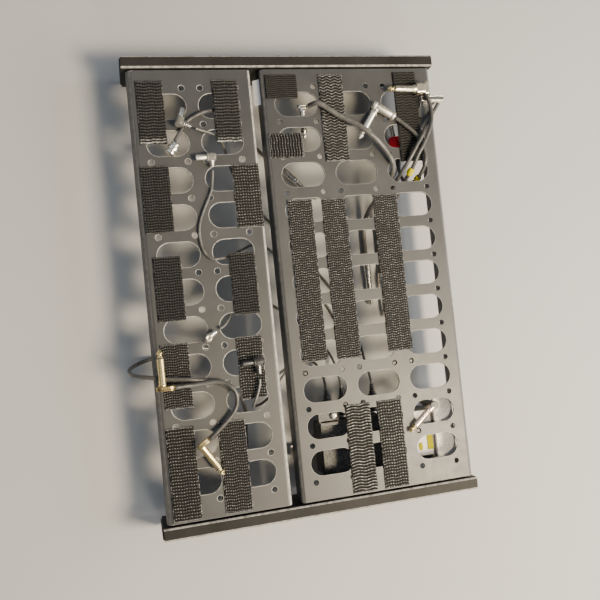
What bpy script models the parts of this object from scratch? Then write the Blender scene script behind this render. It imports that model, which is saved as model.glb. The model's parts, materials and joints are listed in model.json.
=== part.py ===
"""Flat two-deck pedalboard: two slotted sheet decks between box end rails, with hook tape, a power supply
slung under the rear deck and its leads. Metres, +X to the player's right, +Y to the rear, +Z up.
Origin on the floor under the middle of the frame."""

import math

import bmesh
import bpy
from mathutils import Matrix, Vector

MM = 0.001
GAP = 0.3
# Facets that meet at less than this angle are shaded as one round surface
ROUND_BELOW = math.radians(50.0)
# How far a cutter reaches past the face that it opens, in millimetres
OVERCUT = 4.0

# Looks: colour, roughness, metallic
BLACK_COAT = ((0.05, 0.05, 0.052), 0.42, 0.0)
PLASTIC = ((0.02, 0.02, 0.02), 0.5, 0.0)
RUBBER = ((0.02, 0.02, 0.02), 0.85, 0.0)
HOOK_TAPE = ((0.05, 0.047, 0.045), 0.8, 0.0)
DARK_GREY = ((0.09, 0.09, 0.09), 0.6, 0.0)
GREY_METAL = ((0.42, 0.42, 0.42), 0.5, 1.0)
LIGHT_GREY = ((0.45, 0.45, 0.44), 0.5, 0.0)
SELECTOR_RED = ((0.5, 0.03, 0.02), 0.45, 0.0)
PLUG_BLACK = ((0.03, 0.03, 0.03), 0.4, 0.0)
SILVER = ((0.72, 0.72, 0.71), 0.25, 1.0)
GOLD = ((0.83, 0.62, 0.27), 0.25, 1.0)
CORD_BLACK = ((0.04, 0.04, 0.042), 0.45, 0.0)

# Frame sizes, in millimetres
PITCH = 34.0
ROWS = 11
DECK_TOP = 56.0
DECK_HALF = 204.0
SHEET = 2.0
FLANGE = 20.0
REAR_FLANGE = 34.0
INLET_NOTCH_X = (134.0, 184.0)
INLET_NOTCH_TOP = 36.0
FRONT_DECK = (-148.4, -34.5)
REAR_DECK = (-25.7, 148.4)
FRONT_BEND = 6.0
REAR_BEND = 4.0
SLOT_HIGH = 23.0
FRONT_SLOT = 38.3
REAR_SLOT = 42.2
FRONT_SLOTS = (-116.5, -66.5)
REAR_SLOTS = (7.5, 61.0, 114.5)
FRONT_HOLES = (-133.0, -100.0, -83.0, -50.0)
REAR_HOLES = (-10.5, 25.5, 43.0, 79.0, 96.5, 132.5)
HOLE_R = 2.5

RAIL_X = (205.8, 217.8)
RAIL_Y = 152.0
RAIL_Z = (8.0, 56.8)
RAIL_WALL = 1.6
RAIL_ROUND = 2.5
CAP_DEPTH = 12.0
CAP_PROUD = 1.2
CAP_BEVEL = 0.8
FOOT = (11.0, 30.0, 7.7)
FOOT_Y = (-128.0, 128.0)
FOOT_ROUND = 3.0
FOOT_RECESS_R = 3.9
FOOT_RECESS_TOP = 3.6

TAPE_LOW = DECK_TOP + GAP
TAPE_THICK = 2.0
TAPE_BEVEL = 0.8

# Power supply, in millimetres
CASE_X = (136.0, 186.0)
CASE_Y = (3.0, 143.0)
CASE_Z = (12.0, 34.0)
OUTLET_Y = (17.0, 33.0, 49.0, 65.0, 81.0, 97.0)
OUTLET_Z = 22.0
OUTLET_R = 3.2
INLET_X = (140.0, 158.0)
INLET_Z = (16.0, 28.0)
INLET_DEEP = 9.0
SELECTOR_X = (173.0, 177.0)
SELECTOR_Z = (20.0, 24.0)
SELECTOR_DEEP = 2.5
SELECTOR_TRAVEL = 4.0
STRAP_X = (158.0, 170.0)
STRAP_THICK = 1.6
STRAP_TOP = 50.0
COVER_TOP = 38.0
DARK_COVER = ((136.5, 184.5), (3.5, 28.5), 2.0)
LIGHT_COVER = ((126.8, 185.5), (122.2, 142.6), 1.0)
OUTLET_DEEP = 10.0
INLET_WALL = 2.4
INLET_HOLLOW = 6.0
SELECTOR_PROUD = 1.0

# Plugs, in millimetres
PIN_R = 3.15
THIN_PIN_R = 2.35
BARREL_R = 2.7
DC_BODY_R = 4.0
DC_BODY_LONG = 9.0
DC_BODY_BACK = 4.2
DC_NECK = 4.4
DC_RIBS = 3

# Right-angle DC plugs: corner, barrel's direction, lead's direction, barrel's length, sleeve's length
DC_PLUGS = {
    "dc_plug_1": ((-153.8, -105.2, 63.2), (-0.92, 0.3, -0.3), (0.42, 0.9, -0.06), 9.5, 11.0),
    "dc_plug_2": ((-121.2, -79.0, 60.6), (0.0, -1.0, 0.0), (1.0, 0.0, -0.15), 9.5, 9.0),
    "dc_plug_3": ((43.0, -98.2, 60.6), (0.0, 0.0, 1.0), (-0.54, 0.84, -0.08), 7.5, 9.4),
    "dc_plug_4": ((69.0, -54.8, 62.9), (0.0, -1.0, 0.0), (1.0, 0.02, -0.14), 10.0, 11.0),
}

# Flat-headed plugs: pin's tip, pin's base, middle of the head's near face, its long way, its size, its look
FLAT_PLUGS = {
    "patch_plug_2": ((48.5, -141.5, 66.0), (81.5, -141.5, 66.0), (81.0, -139.0, 66.0), (0.0, 1.0, 0.0),
                     (17.0, 12.0, 4.0), GOLD),
    "patch_plug_3": ((165.5, -95.0, 62.2), (137.6, -113.0, 60.2), (137.4, -109.6, 60.2), (-0.55, 0.83, 0.0),
                     (13.5, 12.0, 4.0), GOLD),
    "patch_plug_4": ((-181.0, 98.5, 63.2), (-180.3, 129.0, 63.2), (-180.3, 128.0, 63.2), (1.0, 0.0, 0.0),
                     (11.0, 9.0, 12.0), GOLD),
    "patch_plug_8": ((-138.0, 15.0, 45.5), (-169.0, 15.0, 47.0), (-167.8, 15.0, 47.0), (0.0, 1.0, 0.0),
                     (11.0, 8.0, 3.4), SILVER),
}

# Cord diameters, in millimetres
LEAD_D = 2.6
THIN_CORD_D = 3.4
CORD_D = 3.8
THICK_CORD_D = 5.0

# Hook tape: X from, X to, Y from, Y to, in millimetres
TAPES = {
    "front_tape_1": (-194.0, -135.5, -141.0, -117.0),
    "front_tape_2": (-194.0, -135.5, -72.0, -48.0),
    "front_tape_3": (-115.5, -55.0, -143.5, -118.0),
    "front_tape_4": (-114.5, -55.0, -60.5, -35.5),
    "front_tape_5": (-33.5, 25.0, -140.0, -115.0),
    "front_tape_6": (-32.5, 25.0, -71.5, -47.5),
    "front_tape_7": (45.0, 103.0, -141.0, -116.0),
    "front_tape_8": (45.0, 102.5, -72.5, -48.5),
    "front_tape_9": (119.5, 202.0, -142.5, -117.5),
    "front_tape_10": (119.5, 202.0, -96.0, -71.5),
    "rear_tape_1": (-198.5, -175.5, -21.5, 9.5),
    "rear_tape_2": (-142.0, -119.0, -23.0, 10.0),
    "rear_tape_3": (-198.5, -113.5, 31.0, 55.0),
    "rear_tape_4": (-200.0, -110.5, 108.0, 132.0),
    "rear_tape_5": (-78.5, 75.0, -11.5, 12.5),
    "rear_tape_6": (-77.5, 76.0, 22.0, 46.0),
    "rear_tape_7": (-79.0, 74.0, 74.0, 99.0),
    "rear_tape_8": (119.5, 202.5, 24.5, 49.0),
    "rear_tape_9": (119.5, 203.0, 56.5, 81.0),
}

# Routes of the cords, in millimetres, hand laid from the upper plug down through a slot
ROUTES = {
    "dc_lead_1": [
        (-147.5, -91.0, 62.0), (-146.0, -85.5, 60.4), (-144.5, -79.0, 58.0), (-143.5, -72.5, 53.3),
        (-140.5, -67.0, 46.5), (-135.0, -63.0, 38.0), (-127.0, -59.0, 27.0), (-117.0, -54.0, 16.0),
        (-105.0, -47.0, 7.0), (-90.0, -37.0, 2.0), (-73.0, -23.0, 1.6), (-50.0, -3.0, 1.6),
        (-19.0, 22.0, 1.6), (15.0, 45.0, 1.6), (48.0, 59.0, 1.6), (71.0, 65.0, 3.0),
        (85.0, 65.0, 10.0), (95.0, 65.0, 18.0), (103.0, 65.0, 22.0), (106.5, 65.0, 22.0),
    ],
    "dc_lead_2": [
        (-109.0, -79.0, 58.6), (-102.5, -79.5, 57.9), (-91.5, -81.5, 57.6), (-81.5, -86.0, 57.6),
        (-71.5, -91.0, 57.6), (-62.5, -94.5, 57.6), (-55.0, -96.0, 57.6), (-47.0, -96.0, 57.6),
        (-38.0, -94.5, 57.6), (-31.5, -91.0, 57.7), (-28.0, -86.0, 58.1), (-28.0, -80.5, 57.2),
        (-29.0, -74.5, 53.0), (-31.5, -67.5, 48.0), (-34.5, -60.5, 44.0), (-38.0, -53.0, 39.5),
        (-41.5, -44.5, 32.0), (-43.0, -36.0, 23.0), (-41.0, -28.0, 13.0), (-36.0, -19.0, 5.5),
        (-28.5, -9.0, 1.8), (-13.0, 7.0, 1.6), (13.0, 27.0, 1.6), (42.0, 42.0, 1.6),
        (69.0, 49.0, 3.0), (84.0, 49.0, 10.0), (94.5, 49.0, 18.0), (102.5, 49.0, 22.0),
        (106.5, 49.0, 22.0),
    ],
    "dc_lead_3": [
        (35.5, -86.5, 59.4), (33.5, -82.0, 57.8), (30.0, -78.5, 54.6), (26.0, -75.5, 50.0),
        (20.5, -73.0, 43.5), (14.0, -69.0, 35.5), (9.0, -62.0, 26.0), (7.0, -54.0, 16.0),
        (8.0, -44.0, 7.5), (13.0, -32.0, 2.3), (22.0, -17.0, 1.6), (36.5, 1.0, 1.6),
        (53.5, 18.0, 1.6), (69.0, 28.5, 2.5), (84.0, 33.0, 10.0), (94.5, 33.0, 18.0),
        (102.5, 33.0, 22.0), (106.5, 33.0, 22.0),
    ],
    "dc_lead_4": [
        (85.0, -54.5, 60.6), (91.5, -55.5, 60.3), (98.5, -58.0, 60.5), (103.6, -60.2, 60.4),
        (107.6, -61.6, 56.8), (109.6, -61.5, 51.0), (110.5, -59.5, 44.5), (110.6, -53.0, 37.0),
        (107.5, -44.0, 28.0), (101.5, -35.0, 18.0), (93.0, -26.0, 9.0), (84.0, -16.0, 3.2),
        (77.5, -6.0, 1.6), (76.0, 4.0, 2.0), (79.5, 12.5, 5.0), (88.0, 16.5, 12.0),
        (97.0, 17.0, 19.0), (103.0, 17.0, 22.0), (106.5, 17.0, 22.0),
    ],
    "patch_cord_1": [
        (-137.5, -110.5, 60.0), (-144.0, -106.0, 58.6), (-150.0, -102.0, 58.1), (-154.5, -98.5, 58.1),
        (-158.0, -94.0, 58.2), (-161.5, -87.0, 58.9), (-164.5, -80.0, 57.2), (-167.0, -73.0, 52.5),
        (-168.0, -66.0, 46.5), (-167.0, -59.0, 38.0), (-164.5, -52.0, 28.0), (-159.5, -44.0, 18.0),
        (-152.0, -35.0, 9.0), (-143.0, -25.0, 3.5), (-133.0, -14.0, 2.0), (-125.0, -5.0, 2.0),
    ],
    "patch_cord_2": [
        (83.0, -130.0, 65.6), (83.0, -122.5, 64.2), (83.0, -113.5, 62.8), (82.5, -103.5, 62.4),
        (82.5, -94.5, 62.6), (84.5, -87.0, 62.8), (89.0, -81.0, 63.0), (95.0, -77.5, 62.6),
        (101.0, -77.0, 61.8), (107.5, -78.5, 61.0), (113.5, -82.5, 60.9), (119.0, -88.0, 60.9),
        (125.0, -95.0, 60.8), (131.0, -102.5, 60.2),
    ],
    "patch_cord_3": [
        (56.0, -130.0, 2.4), (56.5, -139.0, 2.6), (58.0, -149.0, 4.5), (60.5, -159.0, 11.0),
        (63.5, -166.5, 22.0), (66.5, -169.0, 35.0), (69.0, -166.5, 47.0), (71.0, -160.0, 56.0),
        (72.5, -151.5, 60.2), (75.0, -141.0, 60.9), (76.5, -129.0, 60.9), (78.0, -117.5, 60.9),
        (80.0, -106.0, 59.0), (82.5, -96.0, 58.3), (87.0, -87.0, 58.3), (91.3, -80.0, 58.7),
        (95.3, -76.2, 58.1), (98.6, -73.4, 54.0), (103.0, -70.5, 44.0), (109.0, -67.5, 33.0),
        (117.0, -65.0, 23.0), (128.0, -64.0, 13.0), (140.0, -64.0, 5.0), (152.0, -64.0, 2.2),
    ],
    "patch_cord_4": [
        (-173.5, 138.6, 64.6), (-166.0, 141.0, 64.6), (-155.5, 141.5, 65.5), (-144.5, 139.5, 66.2),
        (-134.5, 135.0, 66.2), (-124.5, 129.5, 65.4), (-116.5, 124.5, 63.6), (-109.8, 121.2, 61.3),
        (-103.0, 118.5, 57.0), (-96.8, 115.8, 50.5), (-91.0, 113.0, 42.5), (-83.0, 111.0, 33.0),
        (-74.0, 109.5, 23.0), (-63.0, 108.5, 12.0), (-50.0, 108.0, 4.0), (-35.0, 108.0, 2.2),
        (-12.0, 108.0, 2.2), (13.0, 109.0, 2.2), (38.0, 110.5, 2.2), (63.0, 112.0, 2.2),
        (85.0, 113.0, 2.2), (103.0, 113.0, 3.2), (116.0, 113.0, 9.0), (124.5, 113.0, 18.5),
        (129.0, 113.0, 29.0), (130.0, 113.0, 37.0),
    ],
    "patch_cord_5": [
        (-152.6, 105.4, 60.9), (-148.0, 111.5, 60.7), (-142.5, 118.0, 60.7), (-136.0, 124.5, 60.7),
        (-128.5, 129.5, 60.7), (-120.0, 132.0, 60.7), (-111.5, 132.3, 61.2), (-105.0, 131.2, 59.2),
        (-99.8, 129.8, 54.0), (-96.2, 129.0, 46.5), (-94.6, 128.8, 38.0), (-94.8, 128.8, 29.0),
        (-96.6, 128.7, 20.5), (-100.2, 128.5, 12.5), (-105.8, 128.3, 6.4), (-112.5, 128.1, 3.4),
        (-120.0, 128.0, 2.6),
    ],
    "patch_cord_6": [
        (-166.8, 152.8, 59.4), (-161.5, 149.0, 59.4), (-153.0, 142.8, 60.0), (-143.0, 135.5, 62.6),
        (-133.0, 129.0, 65.1), (-122.5, 122.0, 63.8), (-112.5, 115.8, 61.4), (-105.0, 111.0, 57.4),
        (-98.8, 108.0, 50.5), (-90.5, 104.0, 41.0), (-81.0, 101.0, 30.0), (-71.0, 98.5, 19.0),
        (-59.0, 96.5, 9.0), (-46.0, 95.0, 3.0), (-32.0, 94.5, 2.2), (-12.0, 94.5, 2.2),
    ],
    "patch_cord_7": [
        (-169.7, 21.2, 51.8), (-169.6, 22.8, 55.0), (-169.3, 24.4, 59.8), (-168.2, 28.2, 62.8),
        (-165.5, 33.0, 62.2), (-161.5, 38.5, 62.4), (-156.5, 46.0, 62.2), (-151.5, 55.0, 63.0),
        (-145.5, 64.0, 65.4), (-138.5, 72.5, 66.6), (-131.0, 81.5, 64.6), (-122.0, 90.0, 61.8),
        (-113.5, 95.5, 60.4), (-107.0, 99.0, 57.6), (-101.5, 100.0, 51.5), (-94.5, 98.0, 42.5),
        (-86.0, 94.0, 31.5), (-77.5, 89.0, 20.5), (-68.0, 84.0, 10.8), (-57.0, 81.0, 4.5),
        (-44.0, 80.0, 3.0), (-27.0, 80.0, 3.0),
    ],
}

CORD_SIZES = {
    "patch_cord_1": THIN_CORD_D, "patch_cord_2": CORD_D, "patch_cord_3": CORD_D, "patch_cord_4": CORD_D,
    "patch_cord_5": CORD_D, "patch_cord_6": CORD_D, "patch_cord_7": THICK_CORD_D,
}


def material(name, colour, roughness, metallic):
    made = bpy.data.materials.new(name)
    made.use_nodes = True
    shader = made.node_tree.nodes["Principled BSDF"]
    shader.inputs["Base Color"].default_value = (*colour, 1.0)
    shader.inputs["Roughness"].default_value = roughness
    shader.inputs["Metallic"].default_value = metallic
    return made


def node(name, bm, look):
    """Puts a finished mesh in the scene as one named sub-part, round where its facets meet at a low angle."""
    bmesh.ops.recalc_face_normals(bm, faces=bm.faces)
    mesh = bpy.data.meshes.new(name)
    bm.to_mesh(mesh)
    bm.free()
    for face in mesh.polygons:
        face.use_smooth = True
    mesh.set_sharp_from_angle(angle=ROUND_BELOW)
    mesh.materials.append(material(name, *look))
    made = bpy.data.objects.new(name, mesh)
    bpy.context.scene.collection.objects.link(made)
    return made


def helper(name, bm):
    """A cutter, which isn't part of the object."""
    made = node(name, bm, PLASTIC)
    made.hide_render = True
    made.display_type = "WIRE"
    return made


def cut(target, cutter):
    modifier = target.modifiers.new("cut_" + cutter.name, "BOOLEAN")
    modifier.operation = "DIFFERENCE"
    modifier.solver = "EXACT"
    modifier.object = cutter


def add_box(bm, x, y, z):
    """A box between pairs of millimetre limits; returns its vertices."""
    size = Vector((x[1] - x[0], y[1] - y[0], z[1] - z[0])) * MM
    middle = Vector((x[0] + x[1], y[0] + y[1], z[0] + z[1])) * MM / 2
    place = Matrix.Translation(middle) @ Matrix.Diagonal((*size, 1.0))
    return bmesh.ops.create_cube(bm, size=1.0, matrix=place)["verts"]


def edges_where(verts, test):
    edges = {edge for vert in verts for edge in vert.link_edges}
    return [edge for edge in edges if test(edge.verts[0].co, edge.verts[1].co)]


def bevel(bm, edges, radius, segments):
    bmesh.ops.bevel(
        bm, geom=edges, offset=radius * MM, segments=segments, profile=0.5, affect="EDGES", clamp_overlap=True
    )


def add_prism(bm, outline, low, high, place):
    """A closed outline in the local XY plane, drawn out along local Z from low to high."""
    base = [bm.verts.new(place @ Vector((x * MM, y * MM, low * MM))) for x, y in outline]
    face = bm.faces.new(base)
    grown = bmesh.ops.extrude_face_region(bm, geom=[face])["geom"]
    moved = [item for item in grown if isinstance(item, bmesh.types.BMVert)]
    shift = place.to_3x3() @ Vector((0.0, 0.0, (high - low) * MM))
    bmesh.ops.translate(bm, verts=moved, vec=shift)


def facing(start, towards):
    """A matrix at start, in millimetres, whose local Z points along towards."""
    turn = Vector(towards).to_track_quat("Z", "Y").to_matrix().to_4x4()
    return Matrix.Translation(Vector(start) * MM) @ turn


def add_turned(bm, start, towards, profile, sides):
    """A round piece: profile lists (distance along the axis, radius), and starts and ends on the axis."""
    place = facing(start, towards)
    rings = []
    for along, radius in profile:
        if radius == 0.0:
            rings.append([bm.verts.new(place @ Vector((0.0, 0.0, along * MM)))] * sides)
            continue
        ring = []
        for step in range(sides):
            angle = 2 * math.pi * step / sides
            point = Vector((radius * math.cos(angle), radius * math.sin(angle), along)) * MM
            ring.append(bm.verts.new(place @ point))
        rings.append(ring)
    for ring, following in zip(rings, rings[1:]):
        for step in range(sides):
            after = (step + 1) % sides
            corners = [ring[step], ring[after], following[after], following[step]]
            bm.faces.new(dict.fromkeys(corners))


def add_block(bm, start, towards, across, size):
    """A box of size (along across, third way, along towards) whose base is centred on start."""
    z_axis = Vector(towards).normalized()
    x_axis = (Vector(across) - Vector(across).dot(z_axis) * z_axis).normalized()
    turn = Matrix((x_axis, z_axis.cross(x_axis), z_axis)).transposed().to_4x4()
    middle = Matrix.Translation(Vector((0.0, 0.0, size[2] / 2)) * MM)
    place = Matrix.Translation(Vector(start) * MM) @ turn @ middle
    bmesh.ops.create_cube(bm, size=1.0, matrix=place @ Matrix.Diagonal((*(Vector(size) * MM), 1.0)))


def stadium(middle_x, middle_y, long_y, high_x, steps):
    """The outline of a slot with round ends, its length along Y."""
    radius = high_x / 2
    reach = long_y / 2 - radius
    outline = []
    for side in (1, -1):
        for step in range(steps + 1):
            angle = math.pi * step / steps
            along = side * (reach + radius * math.sin(angle))
            outline.append((middle_x + side * radius * math.cos(angle), middle_y + along))
    return outline


def slot_x(row):
    return (row - (ROWS - 1) / 2) * PITCH


# Decks

def deck(name, span, front_radius, rear_radius, depth, slots, slot_long, holes):
    """A sheet tray, open underneath, with rows of slots between rows of small holes."""
    x = (-DECK_HALF, DECK_HALF)
    z = (DECK_TOP - depth, DECK_TOP)
    bm = bmesh.new()
    verts = add_box(bm, x, span, z)
    middle = (span[0] + span[1]) / 2 * MM
    top = (z[1] - 0.01) * MM
    upper = edges_where(verts, lambda a, b: a.z > top and b.z > top)
    front = [edge for edge in upper if max(vert.co.y for vert in edge.verts) < middle]
    bevel(bm, front, front_radius, 3)
    upper = edges_where(bm.verts, lambda a, b: a.z > top and b.z > top and a.y > middle and b.y > middle)
    rear = [edge for edge in upper if abs(edge.verts[0].co.y - edge.verts[1].co.y) < 1e-6]
    bevel(bm, rear, rear_radius, 3)
    body = node(name, bm, BLACK_COAT)

    hollow = bmesh.new()
    inside_x = (x[0] + SHEET, x[1] - SHEET)
    inside_y = (span[0] + SHEET, span[1] - SHEET)
    verts = add_box(hollow, inside_x, inside_y, (z[0] - OVERCUT, z[1] - SHEET))
    roof = (z[1] - SHEET - 0.01) * MM
    upper = edges_where(verts, lambda a, b: a.z > roof and b.z > roof and abs(a.y - b.y) < 1e-6)
    bevel(hollow, upper, rear_radius - SHEET, 2)
    cut(body, helper(name + "_hollow", hollow))

    openings = bmesh.new()
    upright = Matrix.Identity(4)
    for row in range(ROWS):
        for middle_y in slots:
            outline = stadium(slot_x(row), middle_y, slot_long, SLOT_HIGH, 4)
            add_prism(openings, outline, z[1] - SHEET - OVERCUT, z[1] + OVERCUT, upright)
    for row in range(ROWS + 1):
        for hole_y in holes:
            start = (slot_x(row - 0.5), hole_y, z[1] - SHEET - OVERCUT)
            through = SHEET + 2 * OVERCUT
            profile = [(0.0, 0.0), (0.0, HOLE_R), (through, HOLE_R), (through, 0.0)]
            add_turned(openings, start, (0, 0, 1), profile, 6)
    cut(body, helper(name + "_openings", openings))
    return body


def trim_flanges(body, span, depth):
    """Leaves only the rear flange at full depth, with a notch in it for the mains inlet."""
    low = DECK_TOP - depth - OVERCUT
    shallow = bmesh.new()
    wide = (-DECK_HALF - OVERCUT, DECK_HALF + OVERCUT)
    add_box(shallow, wide, (span[0] - OVERCUT, span[1] - SHEET), (low, DECK_TOP - FLANGE))
    cut(body, helper(body.name + "_shallow", shallow))
    notch = bmesh.new()
    across = (span[1] - SHEET - OVERCUT, span[1] + OVERCUT)
    add_box(notch, INLET_NOTCH_X, across, (low - OVERCUT, INLET_NOTCH_TOP))
    cut(body, helper(body.name + "_notch", notch))


# End rails

def rounded_box(bm, x, y, z, radius):
    """A box whose four long edges, along Y, are rounded."""
    verts = add_box(bm, x, y, z)
    long_edges = edges_where(verts, lambda a, b: abs(a.y - b.y) > 1e-6)
    bevel(bm, long_edges, radius, 2)


def rail(name, side):
    """A rectangular tube standing on edge, open at both ends until its caps go in."""
    x = sorted((side * RAIL_X[0], side * RAIL_X[1]))
    bm = bmesh.new()
    rounded_box(bm, x, (-RAIL_Y, RAIL_Y), RAIL_Z, RAIL_ROUND)
    body = node(name, bm, BLACK_COAT)
    bore = bmesh.new()
    inside_x = (x[0] + RAIL_WALL, x[1] - RAIL_WALL)
    inside_z = (RAIL_Z[0] + RAIL_WALL, RAIL_Z[1] - RAIL_WALL)
    add_box(bore, inside_x, (-RAIL_Y - OVERCUT, RAIL_Y + OVERCUT), inside_z)
    cut(body, helper(name + "_bore", bore))


def rail_caps():
    """Push-in plugs that close the rails' ends."""
    for side, side_name in ((-1, "left"), (1, "right")):
        x = sorted((side * RAIL_X[0], side * RAIL_X[1]))
        inside_x = (x[0] + RAIL_WALL + GAP, x[1] - RAIL_WALL - GAP)
        inside_z = (RAIL_Z[0] + RAIL_WALL + GAP, RAIL_Z[1] - RAIL_WALL - GAP)
        for end, end_name in ((-1, "front"), (1, "rear")):
            outer = end * (RAIL_Y + CAP_PROUD)
            bm = bmesh.new()
            verts = add_box(bm, inside_x, sorted((end * (RAIL_Y - CAP_DEPTH), outer)), inside_z)
            rim = edges_where(verts, lambda a, b: min(end * a.y, end * b.y) > (RAIL_Y + CAP_PROUD / 2) * MM)
            bevel(bm, rim, CAP_BEVEL, 1)
            node(f"{side_name}_rail_{end_name}_cap", bm, PLASTIC)


def feet():
    """Rubber pads under the rails, each with the recess that its screw's head sits in."""
    for side, side_name in ((-1, "left"), (1, "right")):
        middle_x = side * (RAIL_X[0] + RAIL_X[1]) / 2
        for foot_y, end_name in zip(FOOT_Y, ("front", "rear")):
            x = (middle_x - FOOT[0] / 2, middle_x + FOOT[0] / 2)
            y = (foot_y - FOOT[1] / 2, foot_y + FOOT[1] / 2)
            bm = bmesh.new()
            verts = add_box(bm, x, y, (0.0, FOOT[2]))
            bevel(bm, edges_where(verts, lambda a, b: abs(a.z - b.z) > 1e-6), FOOT_ROUND, 2)
            name = f"{side_name}_{end_name}_foot"
            body = node(name, bm, RUBBER)
            recess = bmesh.new()
            deep = FOOT_RECESS_TOP + OVERCUT
            profile = [(0.0, 0.0), (0.0, FOOT_RECESS_R), (deep, FOOT_RECESS_R), (deep, 0.0)]
            add_turned(recess, (middle_x, foot_y, -OVERCUT), (0, 0, 1), profile, 8)
            cut(body, helper(name + "_recess", recess))


# Hook tape

def tapes():
    for name, (x_from, x_to, y_from, y_to) in TAPES.items():
        bm = bmesh.new()
        verts = add_box(bm, (x_from, x_to), (y_from, y_to), (TAPE_LOW, TAPE_LOW + TAPE_THICK))
        top = (TAPE_LOW + TAPE_THICK - 0.01) * MM
        rim = edges_where(verts, lambda a, b: a.z > top and b.z > top)
        bevel(bm, rim, TAPE_BEVEL, 1)
        node(name, bm, HOOK_TAPE)


# Power supply

def supply_case():
    bm = bmesh.new()
    verts = add_box(bm, CASE_X, CASE_Y, CASE_Z)
    bevel(bm, edges_where(verts, lambda a, b: abs(a.z - b.z) > 1e-6), 2.0, 1)
    case = node("supply_case", bm, DARK_GREY)
    pockets = bmesh.new()
    for outlet_y in OUTLET_Y:
        deep = OUTLET_DEEP + OVERCUT
        profile = [(0.0, 0.0), (0.0, OUTLET_R), (deep, OUTLET_R), (deep, 0.0)]
        add_turned(pockets, (CASE_X[0] - OVERCUT, outlet_y, OUTLET_Z), (1, 0, 0), profile, 8)
    over = CASE_Y[1] + OVERCUT
    add_box(pockets, INLET_X, (CASE_Y[1] - INLET_DEEP, over), INLET_Z)
    recess_x = (SELECTOR_X[0] - 0.5, SELECTOR_X[1] + SELECTOR_TRAVEL + 0.5)
    recess_z = (SELECTOR_Z[0] - 0.5, SELECTOR_Z[1] + 0.5)
    add_box(pockets, recess_x, (CASE_Y[1] - SELECTOR_DEEP - 0.5, over), recess_z)
    cut(case, helper("supply_pockets", pockets))


def supply_covers():
    """Two lids that stand on the case."""
    lids = (("supply_dark_cover", DARK_COVER, DARK_GREY), ("supply_light_cover", LIGHT_COVER, GREY_METAL))
    for name, (x, y, corner), look in lids:
        bm = bmesh.new()
        verts = add_box(bm, x, y, (CASE_Z[1] + GAP, COVER_TOP))
        bevel(bm, edges_where(verts, lambda a, b: abs(a.z - b.z) > 1e-6), corner, 1)
        node(name, bm, look)


def supply_strap():
    """A bent strap that carries the supply between the rear deck's two long flanges."""
    front = REAR_DECK[0] + SHEET + GAP
    rear = REAR_DECK[1] - SHEET - GAP
    low = CASE_Z[0] - GAP - STRAP_THICK
    profile = [
        (front, STRAP_TOP), (front, low), (rear, low), (rear, STRAP_TOP), (rear - STRAP_THICK, STRAP_TOP),
        (rear - STRAP_THICK, low + STRAP_THICK), (front + STRAP_THICK, low + STRAP_THICK),
        (front + STRAP_THICK, STRAP_TOP),
    ]
    bm = bmesh.new()
    along_x = Matrix(((0, 0, 1, 0), (1, 0, 0, 0), (0, 1, 0, 0), (0, 0, 0, 1)))
    add_prism(bm, profile, *STRAP_X, along_x)
    node("supply_strap", bm, LIGHT_GREY)


def mains_inlet():
    inside_x = (INLET_X[0] + GAP, INLET_X[1] - GAP)
    inside_z = (INLET_Z[0] + GAP, INLET_Z[1] - GAP)
    bm = bmesh.new()
    add_box(bm, inside_x, (CASE_Y[1] - INLET_DEEP + GAP, CASE_Y[1] + 0.8), inside_z)
    socket = node("mains_inlet", bm, PLASTIC)
    hollow = bmesh.new()
    hollow_x = (inside_x[0] + INLET_WALL, inside_x[1] - INLET_WALL)
    hollow_z = (inside_z[0] + INLET_WALL, inside_z[1] - INLET_WALL)
    add_box(hollow, hollow_x, (CASE_Y[1] - INLET_HOLLOW, CASE_Y[1] + OVERCUT), hollow_z)
    cut(socket, helper("mains_inlet_hollow", hollow))


def voltage_selector():
    """The slider that sets the mains voltage. Its origin is on the line that it slides along."""
    y = (CASE_Y[1] - SELECTOR_DEEP, CASE_Y[1] + SELECTOR_PROUD)
    size = (SELECTOR_X[1] - SELECTOR_X[0], y[1] - y[0], SELECTOR_Z[1] - SELECTOR_Z[0])
    bm = bmesh.new()
    add_box(bm, *((-side / 2, side / 2) for side in size))
    slider = node("voltage_selector", bm, SELECTOR_RED)
    slider.location = Vector((sum(SELECTOR_X), sum(y), sum(SELECTOR_Z))) / 2 * MM


# Plugs

def fused(name, pieces, look):
    """One solid from pieces that overlap."""
    body = node(name, pieces[0], look)
    for number, piece in enumerate(pieces[1:]):
        other = helper(f"{name}_part_{number}", piece)
        modifier = body.modifiers.new("join_" + other.name, "BOOLEAN")
        modifier.operation = "UNION"
        modifier.solver = "EXACT"
        modifier.object = other


def turned(start, towards, profile, sides=8):
    bm = bmesh.new()
    add_turned(bm, start, towards, profile, sides)
    return bm


def block(start, towards, across, size):
    bm = bmesh.new()
    add_block(bm, start, towards, across, size)
    return bm


def pin_profile(length):
    """A phone plug's pin from its tip: point, neck, ring and sleeve."""
    return [
        (0.0, 0.0), (0.0, 0.8), (3.6, 3.0), (5.2, 1.9), (6.6, 2.7), (8.2, PIN_R), (length - 4.0, PIN_R),
        (length - 4.0, 4.1), (length, 4.1), (length, 0.0),
    ]


def flat_plug(name, tip, base, head, head_along, head_size, look):
    """A right-angle phone plug with a flat head across the end of its pin."""
    towards = Vector(base) - Vector(tip)
    pin = turned(tip, towards, pin_profile(towards.length))
    fused(name, [pin, block(head, towards, head_along, head_size)], look)


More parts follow.
